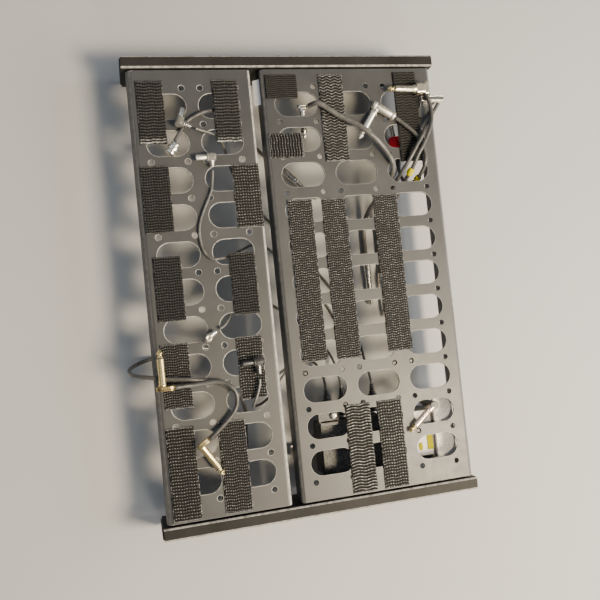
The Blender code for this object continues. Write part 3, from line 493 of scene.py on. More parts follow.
LEAD_D, THIN_CORD_D, CORD_D, THICK_CORD_D = 2.6, 3.4, 3.8, 5.0
ROUTES = {
    "dc_lead_1": [
        (-147.5, -91, 62), (-146, -85.5, 60.4), (-144.5, -79, 58), (-143.5, -72.5, 53.3),
        (-140.5, -67, 46.5), (-135, -63, 38), (-127, -59, 27), (-117, -54, 16),
        (-105, -47, 7), (-90, -37, 2), (-73, -23, 1.6), (-50, -3, 1.6),
        (-19, 22, 1.6), (15, 45, 1.6), (48, 59, 1.6), (71, 65, 3),
        (85, 65, 10), (95, 65, 18), (103, 65, 22), (106.5, 65, 22),
    ],
    "dc_lead_2": [
        (-109, -79, 58.6), (-102.5, -79.5, 57.9), (-91.5, -81.5, 57.6), (-81.5, -86, 57.6),
        (-71.5, -91, 57.6), (-62.5, -94.5, 57.6), (-55, -96, 57.6), (-47, -96, 57.6),
        (-38, -94.5, 57.6), (-31.5, -91, 57.7), (-28, -86, 58.1), (-28, -80.5, 57.2),
        (-29, -74.5, 53), (-31.5, -67.5, 48), (-34.5, -60.5, 44), (-38, -53, 39.5),
        (-41.5, -44.5, 32), (-43, -36, 23), (-41, -28, 13), (-36, -19, 5.5),
        (-28.5, -9, 1.8), (-13, 7, 1.6), (13, 27, 1.6), (42, 42, 1.6),
        (69, 49, 3), (84, 49, 10), (94.5, 49, 18), (102.5, 49, 22),
        (106.5, 49, 22),
    ],
    "dc_lead_3": [
        (35.5, -86.5, 59.4), (33.5, -82, 57.8), (30, -78.5, 54.6), (26, -75.5, 50),
        (20.5, -73, 43.5), (14, -69, 35.5), (9, -62, 26), (7, -54, 16),
        (8, -44, 7.5), (13, -32, 2.3), (22, -17, 1.6), (36.5, 1, 1.6),
        (53.5, 18, 1.6), (69, 28.5, 2.5), (84, 33, 10), (94.5, 33, 18),
        (102.5, 33, 22), (106.5, 33, 22),
    ],
    "dc_lead_4": [
        (85, -54.5, 60.6), (91.5, -55.5, 60.3), (98.5, -58, 60.5), (103.6, -60.2, 60.4),
        (107.6, -61.6, 56.8), (109.6, -61.5, 51), (110.5, -59.5, 44.5), (110.6, -53, 37),
        (107.5, -44, 28), (101.5, -35, 18), (93, -26, 9), (84, -16, 3.2),
        (77.5, -6, 1.6), (76, 4, 2), (79.5, 12.5, 5), (88, 16.5, 12),
        (97, 17, 19), (103, 17, 22), (106.5, 17, 22),
    ],
    "patch_cord_1": [
        (-137.5, -110.5, 60), (-144, -106, 58.6), (-150, -102, 58.1), (-154.5, -98.5, 58.1),
        (-158, -94, 58.2), (-161.5, -87, 58.9), (-164.5, -80, 57.2), (-167, -73, 52.5),
        (-168, -66, 46.5), (-167, -59, 38), (-164.5, -52, 28), (-159.5, -44, 18),
        (-152, -35, 9), (-143, -25, 3.5), (-133, -14, 2), (-125, -5, 2),
    ],
    "patch_cord_2": [
        (83, -130, 65.6), (83, -122.5, 64.2), (83, -113.5, 62.8), (82.5, -103.5, 62.4),
        (82.5, -94.5, 62.6), (84.5, -87, 62.8), (89, -81, 63), (95, -77.5, 62.6),
        (101, -77, 61.8), (107.5, -78.5, 61), (113.5, -82.5, 60.9), (119, -88, 60.9),
        (125, -95, 60.8), (131, -102.5, 60.2),
    ],
    "patch_cord_3": [
        (56, -130, 2.4), (56.5, -139, 2.6), (58, -149, 4.5), (60.5, -159, 11),
        (63.5, -166.5, 22), (66.5, -169, 35), (69, -166.5, 47), (71, -160, 56),
        (72.5, -151.5, 60.2), (75, -141, 60.9), (76.5, -129, 60.9), (78, -117.5, 60.9),
        (80, -106, 59), (82.5, -96, 58.3), (87, -87, 58.3), (91.3, -80, 58.7),
        (95.3, -76.2, 58.1), (98.6, -73.4, 54), (103, -70.5, 44), (109, -67.5, 33),
        (117, -65, 23), (128, -64, 13), (140, -64, 5), (152, -64, 2.2),
    ],
    "patch_cord_4": [
        (-173.5, 138.6, 64.6), (-166, 141, 64.6), (-155.5, 141.5, 65.5), (-144.5, 139.5, 66.2),
        (-134.5, 135, 66.2), (-124.5, 129.5, 65.4), (-116.5, 124.5, 63.6), (-109.8, 121.2, 61.3),
        (-103, 118.5, 57), (-96.8, 115.8, 50.5), (-91, 113, 42.5), (-83, 111, 33),
        (-74, 109.5, 23), (-63, 108.5, 12), (-50, 108, 4), (-35, 108, 2.2),
        (-12, 108, 2.2), (13, 109, 2.2), (38, 110.5, 2.2), (63, 112, 2.2),
        (85, 113, 2.2), (103, 113, 3.2), (116, 113, 9), (124.5, 113, 18.5),
        (129, 113, 29), (130, 113, 37),
    ],
    "patch_cord_5": [
        (-152.6, 105.4, 60.9), (-148, 111.5, 60.7), (-142.5, 118, 60.7), (-136, 124.5, 60.7),
        (-128.5, 129.5, 60.7), (-120, 132, 60.7), (-111.5, 132.3, 61.2), (-105, 131.2, 59.2),
        (-99.8, 129.8, 54), (-96.2, 129, 46.5), (-94.6, 128.8, 38), (-94.8, 128.8, 29),
        (-96.6, 128.7, 20.5), (-100.2, 128.5, 12.5), (-105.8, 128.3, 6.4), (-112.5, 128.1, 3.4),
        (-120, 128, 2.6),
    ],
    "patch_cord_6": [
        (-166.8, 152.8, 59.4), (-161.5, 149, 59.4), (-153, 142.8, 60), (-143, 135.5, 62.6),
        (-133, 129, 65.1), (-122.5, 122, 63.8), (-112.5, 115.8, 61.4), (-105, 111, 57.4),
        (-98.8, 108, 50.5), (-90.5, 104, 41), (-81, 101, 30), (-71, 98.5, 19),
        (-59, 96.5, 9), (-46, 95, 3), (-32, 94.5, 2.2), (-12, 94.5, 2.2),
    ],
    "patch_cord_7": [
        (-169.7, 21.2, 51.8), (-169.6, 22.8, 55), (-169.3, 24.4, 59.8), (-168.2, 28.2, 62.8),
        (-165.5, 33, 62.2), (-161.5, 38.5, 62.4), (-156.5, 46, 62.2), (-151.5, 55, 63),
        (-145.5, 64, 65.4), (-138.5, 72.5, 66.6), (-131, 81.5, 64.6), (-122, 90, 61.8),
        (-113.5, 95.5, 60.4), (-107, 99, 57.6), (-101.5, 100, 51.5), (-94.5, 98, 42.5),
        (-86, 94, 31.5), (-77.5, 89, 20.5), (-68, 84, 10.8), (-57, 81, 4.5),
        (-44, 80, 3), (-27, 80, 3),
    ],
}

CORD_SIZES = {
    "patch_cord_1": THIN_CORD_D, "patch_cord_2": CORD_D, "patch_cord_3": CORD_D, "patch_cord_4": CORD_D,
    "patch_cord_5": CORD_D, "patch_cord_6": CORD_D, "patch_cord_7": THICK_CORD_D,
}


def smooth_route(points, spacing):
    """Points an even distance apart on a smooth curve through the route, and its length."""
    points = [Vector(point) for point in points]
    ends = [2 * points[0] - points[1]] + points + [2 * points[-1] - points[-2]]
    fine = []
    for before, start, finish, after in zip(ends, ends[1:], ends[2:], ends[3:]):
        for step in range(16):
            t = step / 16
            fine.append(
                0.5 * (
                    2 * start + (finish - before) * t + (2 * before - 5 * start + 4 * finish - after) * t * t
                    + (3 * start - before - 3 * finish + after) * t * t * t
                )
            )
    fine.append(points[-1])
    total = sum((b - a).length for a, b in zip(fine, fine[1:]))
    count = max(2, round(total / spacing))
    evened = [fine[0]]
    walked = 0.0
    for start, finish in zip(fine, fine[1:]):
        piece = (finish - start).length
        while len(evened) < count and walked + piece >= total * len(evened) / count:
            share = (total * len(evened) / count - walked) / piece
            evened.append(start.lerp(finish, share))
        walked += piece
    evened.append(fine[-1])
    return evened, total


CORDS = {}
CORD_LENGTHS = {}
for name, route in ROUTES.items():
    diameter = CORD_SIZES.get(name, LEAD_D)
    points, CORD_LENGTHS[name] = smooth_route(route, 0.8 * diameter)
    curve = bpy.data.curves.new(name + "_line", "CURVE")
    curve.dimensions = "3D"
    curve.bevel_depth = diameter / 2 * MM
    curve.bevel_resolution = 5
    curve.use_fill_caps = True
    spline = curve.splines.new("POLY")
    spline.points.add(len(points) - 1)
    for spot, point in zip(spline.points, points):
        spot.co = (*(point * MM), 1.0)
    curve.materials.append({LEAD_D: LEAD_JACKET, THICK_CORD_D: DARK_JACKET}.get(diameter, JACKET))
    cord = bpy.data.objects.new(name + "_jacket", curve)
    bpy.context.scene.collection.objects.link(cord)
    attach(cord, BOARD)
    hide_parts(name)
    CORDS[name] = cord


# Decks

DECK_TOP, DECK_HALF, SHEET = 56.0, 204.0, 2.0
FLANGE, REAR_FLANGE, HEM_TOP = 20.0, 34.0, 23.6
INLET_NOTCH_X, INLET_NOTCH_TOP = (134.0, 184.0), 36.0
PITCH, ROWS, SLOT_HIGH, HOLE_R = 34.0, 11, 23.0, 2.5
BEYOND = 5.0
SMALL_FACE, TINY_FACE = 40.0 * MM * MM, 0.4 * MM * MM


def mark_wear_and_highlight(mesh, wear):
    mesh.attributes.new("worn", "FLOAT", "FACE").data.foreach_set("value", wear)


def worn_and_highlit_edges(mesh, width, bend_highlight):
    """The mesh with its edges chamfered and each face marked for the pale edge colour: worn coat and painted
    highlight on rims, painted highlight on bends and the hem.
    """
    temporary = bpy.data.objects.new(mesh.name, mesh)
    bpy.context.scene.collection.objects.link(temporary)
    smooth(mesh)
    round_edges(temporary, width, 2)
    chamfered = baked(temporary)
    bpy.data.objects.remove(temporary)
    worn = []
    for face in chamfered.polygons:
        up = face.normal.z
        # Small tilted rim faces: pale partly as worn coat, partly as painted highlight.
        wear = float(0.1 < abs(up) < 0.98 and face.area < SMALL_FACE)
        if face.area < TINY_FACE:
            wear *= 0.15
        # Upward bends: painted highlight, the given share on bends facing the rear and a little on the rest.
        if 0.35 < up < 0.95 and face.area > SMALL_FACE:
            wear = bend_highlight if face.normal.y > 0.2 else 0.2
        # The rear flange's hem face below HEM_TOP: painted highlight.
        if face.normal.y < -0.9 and face.center.z < HEM_TOP * MM:
            wear = 1.0
        worn.append(wear)
    mark_wear_and_highlight(chamfered, worn)
    return chamfered


def bent_outline(span, front_radius, rear_radius, low, high):
    """Y and Z of a box with its two upper edges rounded."""
    front = arc(span[0] + front_radius, high - front_radius, front_radius, 180, 90, 8)
    rear = arc(span[1] - rear_radius, high - rear_radius, rear_radius, 90, 0, 8)
    return [(span[0], low), *front, *rear, (span[1], low)]


def stadium(middle_x, middle_y, long_y, high_x, steps):
    radius = high_x / 2
    reach = long_y / 2 - radius
    upper = arc(middle_x, middle_y + reach, radius, 0, 180, steps)
    return upper + arc(middle_x, middle_y - reach, radius, 180, 360, steps)


def flange_cutters(span, depth):
    """What leaves a deck's rear flange deeper than the others, with a notch for the mains inlet."""
    low = DECK_TOP - depth - BEYOND
    inner = span[1] - SHEET
    ahead = rectangle((span[0] - BEYOND, inner), (low, DECK_TOP - FLANGE))
    notch = rectangle((inner - BEYOND, span[1] + BEYOND), (low, INLET_NOTCH_TOP))
    return [
        prism_bm(ahead, -DECK_HALF - BEYOND, DECK_HALF + BEYOND, ALONG_X),
        prism_bm(notch, *INLET_NOTCH_X, ALONG_X),
    ]


def deck(node, slots, slot_long, holes, front_radius, rear_radius, depth, bend_highlight):
    span = node_box(node)[1]
    inside = shrunk(span, SHEET)
    outer = bent_outline(span, front_radius, rear_radius, DECK_TOP - depth, DECK_TOP)
    low, high = DECK_TOP - depth - BEYOND, DECK_TOP - SHEET
    inner = bent_outline(inside, front_radius - SHEET, rear_radius - SHEET, low, high)
    if depth > FLANGE:
        inner.insert(-1, (inside[1], HEM_TOP))
    cut_low, cut_high = DECK_TOP - 6.0, DECK_TOP + 4.0
    openings = bmesh.new()
    for row in range(ROWS):
        for slot_y in slots:
            slot_x = (row - (ROWS - 1) / 2) * PITCH
            prism(openings, stadium(slot_x, slot_y, slot_long, SLOT_HIGH, 18), cut_low, cut_high)
    for row in range(ROWS + 1):
        for hole_y in holes:
            hole_x = (row - ROWS / 2) * PITCH
            prism(openings, arc(hole_x, hole_y, HOLE_R, 0, 342, 19), cut_low, cut_high)
    cutters = [prism_bm(inner, -DECK_HALF + SHEET, DECK_HALF - SHEET, ALONG_X), openings]
    if depth > FLANGE:
        cutters += flange_cutters(span, depth)
    name = node + "_sheet"
    sheet = carved(name, prism_bm(outer, -DECK_HALF, DECK_HALF, ALONG_X), cutters)
    put(name, worn_and_highlit_edges(sheet, 0.6, bend_highlight), DECK, slot="deck_coat", replaces=(node,))


FRONT_SLOTS, FRONT_HOLES = (-116.5, -66.5), (-133.0, -100.0, -83.0, -50.0)
REAR_SLOTS, REAR_HOLES = (7.5, 61.0, 114.5), (-10.5, 25.5, 43.0, 79.0, 96.5, 132.5)
# The last number is the share of painted highlight on the bends that face the rear.
deck("front_deck", FRONT_SLOTS, 38.3, FRONT_HOLES, 6.0, 4.0, FLANGE, 1.0)
deck("rear_deck", REAR_SLOTS, 42.2, REAR_HOLES, 4.0, 4.0, REAR_FLANGE, 0.3)


# End rails, their caps, bolts and feet

RAIL_WALL, RAIL_ROUND = 1.6, 2.5
BOLT_Z = 46.0
RAIL_BOLTS = ((-126.0, 12.0), (-57.0, 55.0), (2.0, 31.0), (121.0, 78.0))
CAP_RIM, CAP_DISH = 1.8, 0.7


def rail(node):
    x, y, z = node_box(node)
    outer = round_rectangle(x, z, RAIL_ROUND)
    inner = round_rectangle(shrunk(x, RAIL_WALL), shrunk(z, RAIL_WALL), RAIL_ROUND - RAIL_WALL)
    bm = bmesh.new()
    loops = []
    for outline in (outer, inner):
        for end in y:
            loops.append([bm.verts.new(Vector((px, end, pz)) * MM) for px, pz in outline])
    for first, second in ((0, 1), (3, 2), (1, 3), (2, 0)):
        a, b = loops[first], loops[second]
        for step in range(len(a)):
            after = (step + 1) % len(a)
            bm.faces.new((a[step], a[after], b[after], b[step]))
    made = edged_piece(node + "_tube", bm, RAIL, 0.3, 2, slot="rail_coat", replaces=(node,))
    # Rounded edges facing up are marked pale: partly edge wear, partly painted highlight.
    mark_wear_and_highlight(made.data, [0.8 * (0.4 < face.normal.z < 0.95) for face in made.data.polygons])


def cap(node):
    x, y, z = node_box(node)
    out = 1.0 if y[1] > 0 else -1.0
    face_y = y[1] if out > 0 else y[0]
    deep = sorted((face_y - out * CAP_DISH, face_y + out * 2.0))
    body = prism_bm(round_rectangle(x, z, 1.2), *y, ALONG_Y)
    dish = prism_bm(round_rectangle(shrunk(x, CAP_RIM), shrunk(z, CAP_RIM), 0.8), *deep, ALONG_Y)
    carved_piece(node + "_plug", body, [dish], CAP, 0.45, slot="cap_plastic", replaces=(node,))


def crossed_head():
    """A pan-head screw's head with its cross recess, on the origin and facing up local Z."""
    profile = [
        (-2.0, 0.0), (-2.0, 2.2), (0.0, 2.3), (0.0, 4.4), (0.5, 4.6),
        (1.1, 4.2), (1.6, 3.2), (1.85, 1.8), (1.9, 0.0),
    ]
    head = bmesh.new()
    lathe(head, ALONG_Z, profile, 36)
    arm = rectangle((-2.4, 2.4), (-0.45, 0.45))
    cross = [prism_bm(arm, 0.7, 3.0), prism_bm([(y, x) for x, y in arm], 0.7, 3.0)]
    return carved("crossed_head", head, cross)


SCREW = crossed_head()
smooth(SCREW)
SCREW.set_sharp_from_angle(angle=math.radians(32.0))


def screw(name, at, towards, look, size, spin, slot):
    """A cross-headed screw, turned by spin degrees and scaled by size."""
    mesh = SCREW.copy()
    turned = Matrix.Rotation(math.radians(spin), 4, "Z") @ Matrix.Scale(size, 4)
    mesh.transform(facing(at, towards) @ turned)
    return put(name, mesh, look, slot=slot)


def foot(node):
    x, y, z = node_box(node)
    middle = ((x[0] + x[1]) / 2, (y[0] + y[1]) / 2)
    recess = bmesh.new()
    lathe(recess, facing((*middle, z[0] - 2.0), (0, 0, 1)), rod(3.9, 5.6), 28)
    body = prism_bm(round_rectangle(x, y, 3.0), *z)
    carved_piece(node + "_pad", body, [recess], RUBBER, 0.6, slot="foot_rubber", replaces=(node,))
    screw(node + "_screw", (*middle, z[0] + 3.6), (0, 0, -1), STEEL, 0.72, 20.0, "foot_rubber")


for side, out in (("left", -1.0), ("right", 1.0)):
    node = side + "_rail"
    rail(node)
    face_x = node_box(node)[0][1 if out > 0 else 0]
    for number, (bolt_y, spin) in enumerate(RAIL_BOLTS, 1):
        at = (face_x, bolt_y, BOLT_Z)
        screw(f"{node}_bolt_{number}", at, (out, 0, 0), BLACK_STEEL, 1.0, spin, "rail_coat")
    for end in ("front", "rear"):
        cap(f"{node}_{end}_cap")
        foot(f"{side}_{end}_foot")


# Screws that show in the rear deck's holes: X, Y and turn in degrees
DECK_SCREWS = (
    (85.0, 79.0, 20.0), (85.0, 96.5, 65.0), (85.0, -10.5, 40.0), (153.0, 96.5, 10.0), (119.0, 25.5, 75.0),
)
DECK_SCREW_Z = 53.6
for number, (hole_x, hole_y, spin) in enumerate(DECK_SCREWS, 1):
    at = (hole_x, hole_y, DECK_SCREW_Z)
    screw(f"rear_deck_screw_{number}", at, (0, 0, 1), BLACK_STEEL, 0.62, spin, "deck_coat")

# Blank sticker whose lower edge has come away from the rear deck's front flange
flange_y = node_box("rear_deck")[1][0]
leaf = [(flange_y - 5.6, 46.0), (flange_y - 0.02, 50.4), (flange_y - 0.02, 50.7), (flange_y - 5.6, 46.3)]
prism_piece("rear_deck_sticker", leaf, -196.5, -172.0, STICKER, 0.05, 1, ALONG_X, slot="deck_coat")


# Hook tape

GRID = 0.45
TAPE_BASE, BACKING = 56.03, 0.62
HOOK_TABLE, STAGGER = 400, 0.12


def ramp(value, low, high):
    return np.clip((value - low) / (high - low), 0.0, 1.0)


def tape_mesh(name, top, nx, ny, layers):
    """A closed strip under a grid of nx by ny points, with one value per point for each of layers."""
    border = (
        [(i, 0) for i in range(nx)] + [(nx - 1, j) for j in range(1, ny)]
        + [(i, ny - 1) for i in range(nx - 2, -1, -1)] + [(0, j) for j in range(ny - 2, 0, -1)]
    )
    rim = np.array([i * ny + j for i, j in border])
    base = top[rim].copy()
    base[:, 2] = TAPE_BASE
    i, j = np.meshgrid(np.arange(nx - 1), np.arange(ny - 1), indexing="ij")
    corner = (i * ny + j).ravel()
    quads = np.stack([corner, corner + ny, corner + ny + 1, corner + 1], -1).tolist()
    count = len(rim)
    for step in range(count):
        after = (step + 1) % count
        quads.append([int(rim[step]), len(top) + step, len(top) + after, int(rim[after])])
    quads.append([len(top) + step for step in range(count - 1, -1, -1)])
    mesh = bpy.data.meshes.new(name)
    mesh.from_pydata((np.concatenate([top, base]) * MM).tolist(), [], quads)
    smooth(mesh)
    for label, values in layers.items():
        each = np.concatenate([values.ravel(), values.ravel()[rim] * 0.5])
        mesh.attributes.new(label, "FLOAT", "POINT").data.foreach_set("value", each.astype(np.float32))
    mesh.update()
    return mesh


def tape(name, look, seed, ridge=2.75, sway=0.3, swing=11.0, hook=2.3, along="x", height=1.45, rows=0.6,
         bright_end=0.0, shine=0.6, sharp=0.8):
    """A strip of hook tape: a backing with wavy ridges of hooks across it, cut ragged at its ends.

    ridge and hook are the spacings along and across the strip, sway and swing the ridges' waviness, rows how
    far the hooks stand apart, shine how bright the painted highlights on their tips are, bright_end the
    length of an end with painted glints on its crests.
    """
    x_span, y_span = node_box(name)[:2]
    rng = np.random.default_rng(seed)
    nx = int(round((x_span[1] - x_span[0]) / GRID)) + 1
    ny = int(round((y_span[1] - y_span[0]) / GRID)) + 1
    px, py = np.meshgrid(np.linspace(*x_span, nx), np.linspace(*y_span, ny), indexing="ij")
    run, cross = (px, py) if along == "x" else (py, px)
    length_span, width_span = (x_span, y_span) if along == "x" else (y_span, x_span)
    drift = 0.3 * np.sin(run / 17.0 + seed) + 0.2 * np.sin(cross / 9.0 + run / 31.0)
    turn_at = 2 * np.pi * (cross - width_span[0]) / swing + 0.6 * seed
    phase = (run + sway * np.sin(turn_at) + drift) / ridge
    crest = (0.5 + 0.5 * np.cos(2 * np.pi * phase)) ** sharp
    row = np.floor(phase + 0.5)
    column = cross / hook + STAGGER * (row % 2) + 0.08 * np.sin(run / 5.0 + seed)
    hooks = (0.5 + 0.5 * np.cos(2 * np.pi * column)) ** 0.6
    which = np.floor(column + 0.5).astype(int)
    table = rng.random((HOOK_TABLE, HOOK_TABLE))
    glint = shine * (0.25 + table[row.astype(int) % HOOK_TABLE, which % HOOK_TABLE] ** 1.5)
    jitter = rng.random((nx, ny))
    coarse = rng.random((nx // 3 + 2, ny // 3 + 2)).repeat(3, 0).repeat(3, 1)[:nx, :ny]
    jitter = 0.5 * jitter + 0.5 * coarse
    rise = crest * (1.0 - rows + rows * hooks) * (0.72 + 0.28 * jitter)
    side = np.minimum(cross - width_span[0], width_span[1] - cross)
    end = np.minimum(run - length_span[0], length_span[1] - run)
    rise *= (0.35 + 0.65 * ramp(side, 0.0, 0.9)) * (0.45 + 0.55 * ramp(end, 0.0, 0.9))
    # Pale cut ends and ragged edges: partly frayed fibre, partly painted glint.
    fray_and_glint = (1.0 - ramp(end, 0.3, 1.0)) * 0.30 * jitter
    fray_and_glint += (1.0 - ramp(side, 0.2, 0.7)) * 0.35 * (jitter > 0.62)
    # Crests near one end painted pale: painted glint.
    if bright_end:
        near = ramp(length_span[1] - run, 0.0, bright_end)
        fray_and_glint = fray_and_glint + (1.0 - near) * 0.9 * (rise > 0.45) * (jitter > 0.35)
    edge = (side < 0.5) | (end < 0.5)
    wobble = 0.22 * (rng.random((2, nx, ny)) - 0.5)
    px[edge] += wobble[0][edge]
    py[edge] += wobble[1][edge]
    top = np.stack([px, py, TAPE_BASE + (BACKING + height * rise)], -1).reshape(-1, 3)
    layers = {"rise": rise, "fray_and_glint": np.clip(fray_and_glint, 0.0, 1.0), "glint": glint}
    strip = name + "_strip"
    put(strip, tape_mesh(strip, top, nx, ny, layers), look, slot="hook_tape", replaces=(name,))


tape("front_tape_1", TAPE, 1, rows=0.35, bright_end=7.0, shine=0.35)
tape("front_tape_2", TAPE, 2, ridge=2.9, sway=0.2, rows=0.25, hook=2.6, bright_end=5.0, shine=0.3)
tape("front_tape_3", TAPE, 3, ridge=2.5, rows=0.5, shine=0.35)
tape("front_tape_4", TAPE_HIGHLIT, 4, ridge=2.7, sway=0.2, hook=2.5, shine=0.42)
tape("front_tape_5", TAPE, 5, ridge=2.5, rows=0.55, hook=2.2, shine=0.3)
tape("front_tape_6", TAPE, 6, ridge=2.6, rows=0.55, shine=0.45)
tape("front_tape_7", TAPE_WARM, 7, ridge=2.3, sway=0.4, hook=2.0, shine=0.5)
tape("front_tape_8", TAPE_WARM, 8, ridge=2.6)
tape("front_tape_9", TAPE_HIGHLIT, 9, ridge=2.8, sway=0.2, shine=0.4, sharp=1.1)
tape("front_tape_10", TAPE_WARM, 10, ridge=2.6, sway=0.4, rows=0.65, hook=2.0)
tape("rear_tape_1", TAPE_DARK, 11, ridge=2.0, sway=0.2, rows=0.3, hook=1.7, height=0.9, shine=0.5)
tape("rear_tape_2", TAPE_WARM, 12, ridge=2.7, rows=0.35, hook=2.6, along="y", shine=0.4)
tape("rear_tape_3", TAPE_WARM, 13, ridge=2.85, sway=0.75, swing=8.0, rows=0.12, hook=2.4, sharp=1.1)
tape("rear_tape_4", TAPE_DARK, 14, sway=0.5, swing=8.0, rows=0.15, hook=2.4, shine=0.5)
tape("rear_tape_5", TAPE_WARM, 15, ridge=2.35, sway=0.45, swing=8.0, rows=0.45, hook=2.1, shine=0.75)
tape("rear_tape_6", TAPE_WARM, 16, ridge=2.35, sway=0.45, swing=8.0, rows=0.45, hook=2.1, shine=0.8)
tape("rear_tape_7", TAPE_WARM, 17, ridge=2.4, sway=0.5, swing=8.0, rows=0.45, hook=2.2, shine=0.8)
tape("rear_tape_8", TAPE_HIGHLIT, 18, ridge=2.8, sway=0.5, swing=13.0, rows=0.15, hook=3.4, shine=0.85,
     sharp=1.5)
tape("rear_tape_9", TAPE_HIGHLIT, 19, ridge=2.8, sway=0.35, swing=13.0, rows=0.5, hook=2.6, shine=0.62)

# Power supply

CASE_X, CASE_Y, CASE_Z = (136.0, 186.0), (3.0, 143.0), (12.0, 34.0)
OUTLET_Y, OUTLET_Z, OUTLET_R = (17.0, 33.0, 49.0, 65.0, 81.0, 97.0), 22.0, 3.2
INLET_RECESS = ((140.0, 158.0), (134.0, 147.0), (16.0, 28.0))
SELECTOR_RECESS = ((172.5, 181.5), (140.0, 147.0), (19.5, 24.5))
LID_LOW, GREY_LID_TOP = CASE_Z[1] + 0.02, 37.0
YELLOW_LOW = GREY_LID_TOP - 0.1
STRAP_THICK, STRAP_BEND, STRAP_SCREW_Z = 1.6, 3.0, 44.0
MAINS_PIN_X = (146.0, 152.0)
GROOVE_X = (174.0, 175.0, 176.0)

pockets = bmesh.new()
for outlet_y in OUTLET_Y:
    lathe(pockets, facing((CASE_X[0] - 4.0, outlet_y, OUTLET_Z), (1, 0, 0)), rod(OUTLET_R, 14.0), 28)
case = prism_bm(round_rectangle(CASE_X, CASE_Y, 2.0), *CASE_Z)
recesses = [prism_bm(rectangle(x, y), *z) for x, y, z in (INLET_RECESS, SELECTOR_RECESS)]
carved_piece("supply_body", case, [pockets, *recesses], CASE, 0.5, slot="supply_plastic",
             replaces=("supply_case",))
outlet_rim = [
    (8.9, OUTLET_R - 0.05), (10.4, OUTLET_R - 0.05), (10.6, OUTLET_R + 0.2), (10.6, 4.9),
    (10.2, 5.4), (9.4, 5.4), (8.9, OUTLET_R - 0.05),
]
outlet_pin = [(0, 0), (0, 0.95), (7.4, 0.95), (8.0, 0.4), (8.0, 0)]
for number, outlet_y in enumerate(OUTLET_Y, 1):
    at = (CASE_X[0] + 9.6, outlet_y, OUTLET_Z)
    lathe_piece(f"supply_outlet_rim_{number}", at, (-1, 0, 0), outlet_rim, BLACK, round_by=0.1,
                slot="supply_plastic")
    lathe_piece(f"supply_outlet_pin_{number}", at, (-1, 0, 0), outlet_pin, SILVER, 20, slot="supply_metal")

x, y, z = node_box("supply_dark_cover")
prism_piece("supply_dark_lid", round_rectangle(x, y, 2.0), LID_LOW, z[1], CASE, 0.8,
            slot="supply_plastic", replaces=("supply_dark_cover",))
x, y, z = node_box("supply_light_cover")
prism_piece("supply_light_lid", round_rectangle(x, y, 1.0), LID_LOW, z[1], LIGHT_CASE, 0.7,
            slot="supply_metal", replaces=("supply_light_cover",))
grey = round_rectangle((137.0, 182.0), (93.0, 118.2), 1.2)
prism_piece("supply_grey_lid", grey, LID_LOW, GREY_LID_TOP, GREY_COVER, 0.5, slot="supply_metal")
bar = round_rectangle((151.0, 176.4), (112.2, 118.0), 0.5)
prism_piece("supply_yellow_bar", bar, YELLOW_LOW, 37.9, SUPPLY_YELLOW, 0.3, slot="supply_plastic")
turns = [2 * math.pi * step / 40 for step in range(40)]
spot = [(172.4 + 4.0 * math.cos(angle), 104.9 + 2.3 * math.sin(angle)) for angle in turns]
prism_piece("supply_yellow_spot", spot, YELLOW_LOW, 37.6, SUPPLY_YELLOW, 0.3, slot="supply_plastic")
ear = prism_bm(round_rectangle((122.0, 135.2), (0.5, 21.0), 2.5), 44.4, 46.0)
prism(ear, round_rectangle((133.0, 138.0), (2.0, 19.5), 1.0), 33.5, 46.0)
edged_piece("supply_ear", ear, EAR, 0.3, 2, slot="supply_metal")
screw("supply_ear_screw", (128.6, 15.5, 46.0), (0, 0, 1), DARK_METAL, 0.9, 25.0, "supply_metal")

strap_x, strap_y, strap_z = node_box("supply_strap")


def strap_outline(inset, radius):
    front, rear, low = strap_y[0] + inset, strap_y[1] - inset, strap_z[0] + inset
    return [
        (front, strap_z[1]), *arc(front + radius, low + radius, radius, 180, 270, 6),
        *arc(rear - radius, low + radius, radius, 270, 360, 6), (rear, strap_z[1]),
    ]


hanger = strap_outline(0.0, STRAP_BEND) + strap_outline(STRAP_THICK, STRAP_BEND - STRAP_THICK)[::-1]
prism_piece("supply_hanger", hanger, *strap_x, BRACKET, 0.25, 2, ALONG_X, slot="strap_metal",
            replaces=("supply_strap",))
for number, wall_y, inward, spin in (
    (1, strap_y[0] + STRAP_THICK, 1, 40.0), (2, strap_y[1] - STRAP_THICK, -1, 10.0),
):
    at = ((strap_x[0] + strap_x[1]) / 2, wall_y, STRAP_SCREW_Z)
    screw(f"supply_hanger_screw_{number}", at, (0, inward, 0), STEEL, 0.75, spin, "strap_metal")

x, y, z = node_box("mains_inlet")
socket = prism_bm(round_rectangle(x, z, 1.0), *y, ALONG_Y)
well = prism_bm(round_rectangle(shrunk(x, 2.2), shrunk(z, 2.4), 3.2), y[1] - 6.5, y[1] + 3.0, ALONG_Y)
carved_piece("mains_inlet_socket", socket, [well], BLACK, 0.35, slot="inlet_plastic",
             replaces=("mains_inlet",))
mains_pin = [(0, 0), (0, 1.15), (7.0, 1.15), (7.8, 0.4), (7.8, 0)]
for number, pin_x in enumerate(MAINS_PIN_X, 1):
    at = (pin_x, y[0] + 1.0, 22.0)
    lathe_piece(f"mains_inlet_pin_{number}", at, (0, 1, 0), mains_pin, SILVER, 20, slot="supply_metal")

x, y, z = node_box("voltage_selector")
slider = prism_bm(round_rectangle(x, z, 0.4), *y, ALONG_Y)
grooves = bmesh.new()
for groove_x in GROOVE_X:
    groove = rectangle((groove_x - 0.2, groove_x + 0.2), (z[0] - 1.0, z[1] + 1.0))
    prism(grooves, groove, y[1] - 0.45, y[1] + 1.0, ALONG_Y)
carved_piece("voltage_selector_slider", slider, [grooves], RED, 0.12, 2, slot="selector_plastic",
             replaces=("voltage_selector",), body="selector")


# Plugs

PIN_R, FLOOR_PIN_R = 3.15, 2.95
SILVER_PLUG, GOLD_PLUG, DC_PLUG = "silver_plug", "gold_plug", "dc_plug_plastic"


